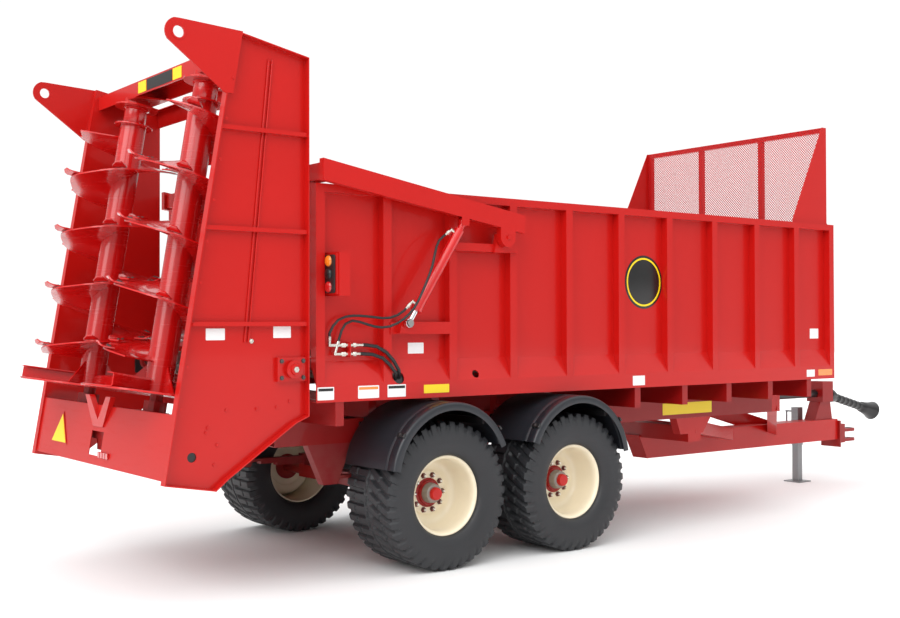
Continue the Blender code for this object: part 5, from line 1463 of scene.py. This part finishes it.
@dataclass
class Housing:
    """Trim on one side plate of the beater housing, and its bearings."""

    side: Side
    face: float = 1.238
    outer: float = 1.295
    buttons: tuple[tuple[float, float], ...] = (
        (-0.696, 1.278), (-0.468, 1.277), (-0.314, 1.281), (-0.212, 1.318), (-0.829, 1.169),
        (-0.843, 1.135), (-0.761, 1.050), (-0.784, 0.918))
    inner: float = 1.2295
    shaft: tuple[float, float] = (-0.207, 1.5403)

    def build(self) -> None:
        """Makes the grease line, the bearing, the lifting eye's ring, a black disc of painted shade behind
        the hole, and the bolts.
        """
        tag, sign = self.side.word, self.side.value
        outward = (0, sign, 0)
        depth = sign * (self.face + 0.007)
        lines = [bar(at(-0.365 + dx, depth, 3.670), at(-0.550 + dx, depth, 1.729), 0.007)
                 for dx in (-0.014, 0.014)]
        piece(f"grease_line_{tag}", joined(lines), RED, "chassis")
        nipple = bolt_heads(at(-0.509, sign * (self.face + PROUD), 1.738)[None], outward, 0.013, 0.016)
        piece(f"grease_nipple_{tag}", nipple, FITTING, "chassis", 25)
        heads = np.array([at(x, sign * (self.face + PROUD), z) for x, z in self.buttons])
        piece(f"side_buttons_{tag}", bolt_heads(heads, outward, 0.013, 0.008), RED, "chassis", 25)
        # Painted shade: a black disc behind the plate's hole stands in for the dark inside of the housing.
        shade_disc = revolved([(0, 0), (0.046, 0), (0.046, 0.004), (0.040, 0.007), (0, 0.007)],
                        at(-0.945, sign * self.inner, 0.978), (0, -sign, 0), 40)
        piece(f"hole_plug_{tag}", shade_disc, BLACK_GUARD, "chassis")
        x, z = self.shaft
        hub = at(x, sign * (self.outer - 0.005), z)
        boss = revolved([(0, 0), (0.060, 0), (0.062, 0.004), (0.062, 0.014), (0.040, 0.020), (0.036, 0.034),
                         (0, 0.036)], hub, outward, 48)
        piece(f"bearing_boss_{tag}", boss, RED, "chassis")
        end_bolt = bolt_heads((hub + np.array([0, sign * 0.0358, 0]))[None], outward, 0.016, 0.010)
        piece(f"shaft_bolt_{tag}", end_bolt, FITTING, "chassis", 25)
        offsets = np.array([(-0.085, -0.058), (0.085, -0.058), (0.085, 0.058), (-0.085, 0.058)])
        bolts = np.array([at(x + dx, sign * (self.face + 0.0322), z + dz) for dx, dz in offsets])
        piece(f"bearing_bolts_{tag}", bolt_heads(bolts, outward, 0.013, 0.012), DARK_BOLT, "chassis", 25)
        inside = slab(at(x, sign * self.inner, z), (sign, 0, 0), (0, 0, 1), 0.210, 0.190, 0.012, 0.01)
        piece(f"bearing_plate_{tag}", inside, BLACK_GUARD, "chassis")
        seal = revolved([(0.032, 0.012), (0.066, 0.012), (0.066, 0.022), (0.058, 0.030), (0.032, 0.030)],
                        at(x, sign * self.inner, z), (0, -sign, 0), 48, True)
        piece(f"bearing_seal_{tag}", seal, SHADED_CHASSIS_RED, "chassis")
        centre = at(-1.066, sign * (self.outer - 0.013), 3.755)
        rim = revolved([(0.0395, 0), (0.052, 0), (0.052, 0.016), (0.0395, 0.016)], centre, outward, 48, True)
        piece(f"lifting_ring_{tag}", rim, RED, "chassis")
        row = np.linspace(1.30, 3.50, 9)[:, None]
        places = np.hstack([REAR_X + rear_face(row) + 0.030, 0 * row + sign * (self.outer + PROUD), row])
        piece(f"edge_bolts_{tag}", bolt_heads(places, outward, 0.009, 0.006), RED, "chassis", 25)


@dataclass
class RearTrim:
    """Plates on the housing's rear: the slow-vehicle triangle, the beam's sign and the marker lamps."""

    triangle_place: tuple[float, float] = (0.750, 1.016)
    triangle_stretch: float = 1.22
    sign_x: float = -0.6308
    sign_height: float = 3.706
    marker_height: float = 0.915
    marker_places: tuple[float, ...] = (-0.11, -0.16, -0.21, -0.26)

    def triangle(self) -> None:
        """A yellow triangle on a larger red one, on the left of the rear panel."""
        slope = np.array([math.sin(LEAN), 0, math.cos(LEAN)])
        y, height = self.triangle_place
        centre = at(rear_face(height) + 0.010, y, height)
        corners = np.radians([90, 210, 330])
        for name, size, depth, finish in (("warning_backing", 0.165, 0.003, RED),
                                           ("warning_face", 0.143, 0.006, YELLOW_FILM)):
            outline = np.column_stack([0 * corners, self.triangle_stretch * size * np.cos(corners),
                                       size * np.sin(corners)])
            ends = np.array([outline, outline]).reshape(2, 3, 3)
            ends[1] -= np.array([depth, 0, 0])
            turn = np.column_stack([np.cross([0, 1, 0], slope), [0, 1, 0], slope])
            middle = ends.mean(1, keepdims=True)
            rings = np.concatenate([np.repeat(middle[:1], 3, 1), ends, np.repeat(middle[1:], 3, 1)])
            shape = Shape(rings.reshape(-1, 3) @ turn.T + centre, grid_faces(4, 3, False, True))
            piece(name, shape, finish, "chassis")

    def beam_sign(self) -> None:
        """The blank sign under the top beam's edge: black middle, yellow ends."""
        parts = (("sign_middle", 0.0, 0.46, BLACK_FILM), ("sign_right", -0.32, 0.15, YELLOW_FILM),
                 ("sign_left", 0.32, 0.15, YELLOW_FILM))
        for name, y, width, finish in parts:
            plate = slab(at(self.sign_x - PROUD, y, self.sign_height), (0, -1, 0), (0, 0, 1), width, 0.086,
                         0.003, 0.006, 0.0006)
            piece(name, plate, finish, "chassis")

    def markers(self) -> None:
        """Four small dark red marker lamps in a row near the rear panel's lower edge."""
        height = self.marker_height
        x = rear_face(height) + 0.012
        for index, y in enumerate(self.marker_places):
            shape = slab(at(x - 0.001, y, height), (0, -1, 0), (0, 0, 1), 0.038, 0.042, 0.012, 0.004, 0.001)
            piece(f"rear_marker_{index}", shape, RED_LENS, "chassis")

    def build(self) -> None:
        """Makes all the rear trim."""
        self.triangle()
        self.beam_sign()
        self.markers()


@dataclass
class DriveShaft:
    """The guarded shafts: a plain tube under the floor and the bell-ended guard at the hitch."""

    start: Point = (7.790, 0.0, 1.000)
    end: Point = (8.640, 0.0, 0.785)

    def build(self) -> None:
        """Makes both guards."""
        start, end = at(*self.start), at(*self.end)
        along = (end - start) / np.linalg.norm(end - start)
        span = float(np.linalg.norm(end - start))
        profile = [(0.046, -0.045), (0.085, -0.045), (0.084, -0.020), (0.078, 0.020), (0.062, 0.075),
                   (0.054, 0.100), (0.048, 0.105)]
        for ring in np.linspace(0.16, span - 0.30, 6):
            profile += [(0.048, ring - 0.006), (0.0505, ring - 0.003), (0.0505, ring + 0.003),
                        (0.048, ring + 0.006)]
        profile += [(0.048, span - 0.240), (0.062, span - 0.225), (0.070, span - 0.160),
                    (0.084, span - 0.090), (0.098, span - 0.030), (0.110, span - 0.002), (0.104, span),
                    (0.092, span - 0.040), (0.074, span - 0.110), (0.058, span - 0.190),
                    (0.0, span - 0.192), (0.0, -0.045)]
        guard = piece("pto_bell", revolved(profile, start, along, 64, True), BLACK_GUARD, "chassis", 50)
        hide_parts("pto_guard")
        low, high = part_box("driveline_guard")
        middle = (low[2] + high[2]) / 2
        tube = bar(np.array([low[0], 0, middle]), np.array([high[0], 0, middle]), 0.045, 40)
        made = piece("driveline_tube", tube, BLACK_GUARD, "chassis")
        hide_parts("driveline_guard")


@dataclass
class Drawbar:
    """Bolts and the hitch pin's collar on the pole and the clevis."""

    flange_x: float = 7.822
    bolt_reach: float = 0.105
    bolt_heights: tuple[float, ...] = (0.43, 0.50, 0.60, 0.68)

    def build(self) -> None:
        """Makes the flange bolts and the collar round the pin hole."""
        faces = np.array([at(self.flange_x, y, z) for y in (-self.bolt_reach, self.bolt_reach)
                          for z in self.bolt_heights])
        piece("hitch_bolts", bolt_heads(faces, (1, 0, 0), 0.014, 0.012), DARK_BOLT, "chassis", 25)
        collar = revolved([(0.0225, 0), (0.036, 0), (0.036, 0.006), (0.0225, 0.006)],
                          at(8.160, 0, 0.6002), (0, 0, 1), 40, True)
        piece("pin_collar", collar, SHAFT_STEEL, "chassis")


# -------------------------------------------------------------------- studio
@dataclass
class Studio:
    """A pale floor, a graded sky, a broad sun, a soft key light and the camera.

    Attributes:
        eye: The camera's place, from the box's rear end.
        yaw: The camera's turn to the right of +Y, in degrees.
        pitch: Its tilt upwards, in degrees.
        roll: Its roll, in degrees.
        lens: Its focal length in millimetres, on a film 36 mm wide.
        horizon: Strength of the sky's light from the sides.
        zenith: Strength of the sky's light from above.
        backdrop: Strength of the white that the camera sees.
        sun: The direction that the sun stands in.
        sun_strength: The sun's strength.
        sun_angle: The sun's width in degrees.
        reach: Half the floor's width.
        lights: Name, place, width and power in watts of each square light.
    """

    eye: Point = (-4.3453, -8.4793, 1.8451)
    yaw: float = 37.391
    pitch: float = 0.768
    roll: float = -0.131
    lens: float = 47.61
    horizon: float = 0.50
    zenith: float = 1.60
    backdrop: float = 1.05
    sun: Point = (-0.80, -0.24, 0.56)
    sun_strength: float = 1.5
    sun_angle: float = 50.0
    reach: float = 60.0
    lights: tuple[tuple[str, Point, float, float], ...] = (("key", (-9.0, -10.0, 9.0), 7.0, 260.0),)

    def camera(self) -> None:
        """Places the camera; its place is given from the box's rear end."""
        data = bpy.data.cameras.new("view")
        data.lens = self.lens
        data.sensor_width = 36.0
        data.clip_end = 200.0
        made = bpy.data.objects.new("view", data)
        bpy.context.scene.collection.objects.link(made)
        turn = (Matrix.Rotation(math.radians(-self.yaw), 4, "Z")
                @ Matrix.Rotation(math.radians(90 + self.pitch), 4, "X")
                @ Matrix.Rotation(math.radians(self.roll), 4, "Z"))
        made.matrix_world = Matrix.Translation(at(*self.eye)) @ turn
        bpy.context.scene.camera = made

    def light(self, name: str, place: Point, size: float, power: float) -> None:
        """A square soft light that faces the machine's middle.

        Args:
            name: The light's name.
            place: Where it stands.
            size: Its side.
            power: Its power in watts.
        """
        data = bpy.data.lights.new(name, "AREA")
        data.size = size
        data.energy = power
        made = bpy.data.objects.new(name, data)
        bpy.context.scene.collection.objects.link(made)
        back = axes_for(np.array(place) - np.array([0, 0, 1.4]))
        made.matrix_world = Matrix.Translation(place) @ Matrix(back.tolist()).to_4x4()

    def air(self) -> None:
        """A white backdrop, a sky that lights more from above than from the sides, and one broad sun."""
        world = bpy.data.worlds.new("studio")
        bpy.context.scene.world = world
        world.use_nodes = True
        wiring = Wiring(world.node_tree)
        background = world.node_tree.nodes["Background"]
        background.inputs[0].default_value = (1, 1, 1, 1)
        seen = wiring.node("ShaderNodeLightPath").outputs["Is Camera Ray"]
        direction = wiring.node("ShaderNodeTexCoord").outputs["Generated"]
        height = wiring.node("ShaderNodeSeparateXYZ", {0: direction}).outputs[2]
        sky = wiring.spread(height, 0.15, 0.80, self.horizon, self.zenith)
        wiring.feed(background.inputs[1], wiring.spread(seen, 0.0, 1.0, sky, self.backdrop))
        data = bpy.data.lights.new("sun", "SUN")
        data.energy = self.sun_strength
        data.angle = math.radians(self.sun_angle)
        made = bpy.data.objects.new("sun", data)
        bpy.context.scene.collection.objects.link(made)
        made.matrix_world = Matrix(axes_for(np.array(self.sun)).tolist()).to_4x4()
        bpy.context.scene.view_settings.view_transform = "Standard"

    def build(self) -> None:
        """Makes the floor, the sky, the lights and the camera."""
        steps = np.linspace(-self.reach, self.reach, 3)
        x, y = np.meshgrid(steps, steps, indexing="ij")
        data = bpy.data.meshes.new("ground")
        data.from_pydata(np.stack([x, y, 0 * x - 0.0005], -1).reshape(-1, 3).tolist(), [],
                         grid_faces(3, 3).tolist())
        ground = bpy.data.objects.new("ground", data)
        bpy.context.scene.collection.objects.link(ground)
        data.materials.append(PALE_FLOOR.material())
        self.air()
        for light in self.lights:
            self.light(*light)
        self.camera()


def main() -> None:
    """Builds the studio and every sub-assembly in order."""
    logging.basicConfig(level=logging.INFO, format="%(message)s")
    Studio().build()
    for side in Side:
        Hydraulics(side).build()
    dress_frame()
    for side in Side:
        for row in Row:
            Wheel(row, side).build()
        Fenders(side).build()
        Beater(side).build()
        GateCylinder(side).build()
        TailLamp(side).build()
        Plates(side).build()
        Housing(side).build()
    RearTrim().build()
    DriveShaft().build()
    Drawbar().build()


if __name__ == "__main__":
    main()
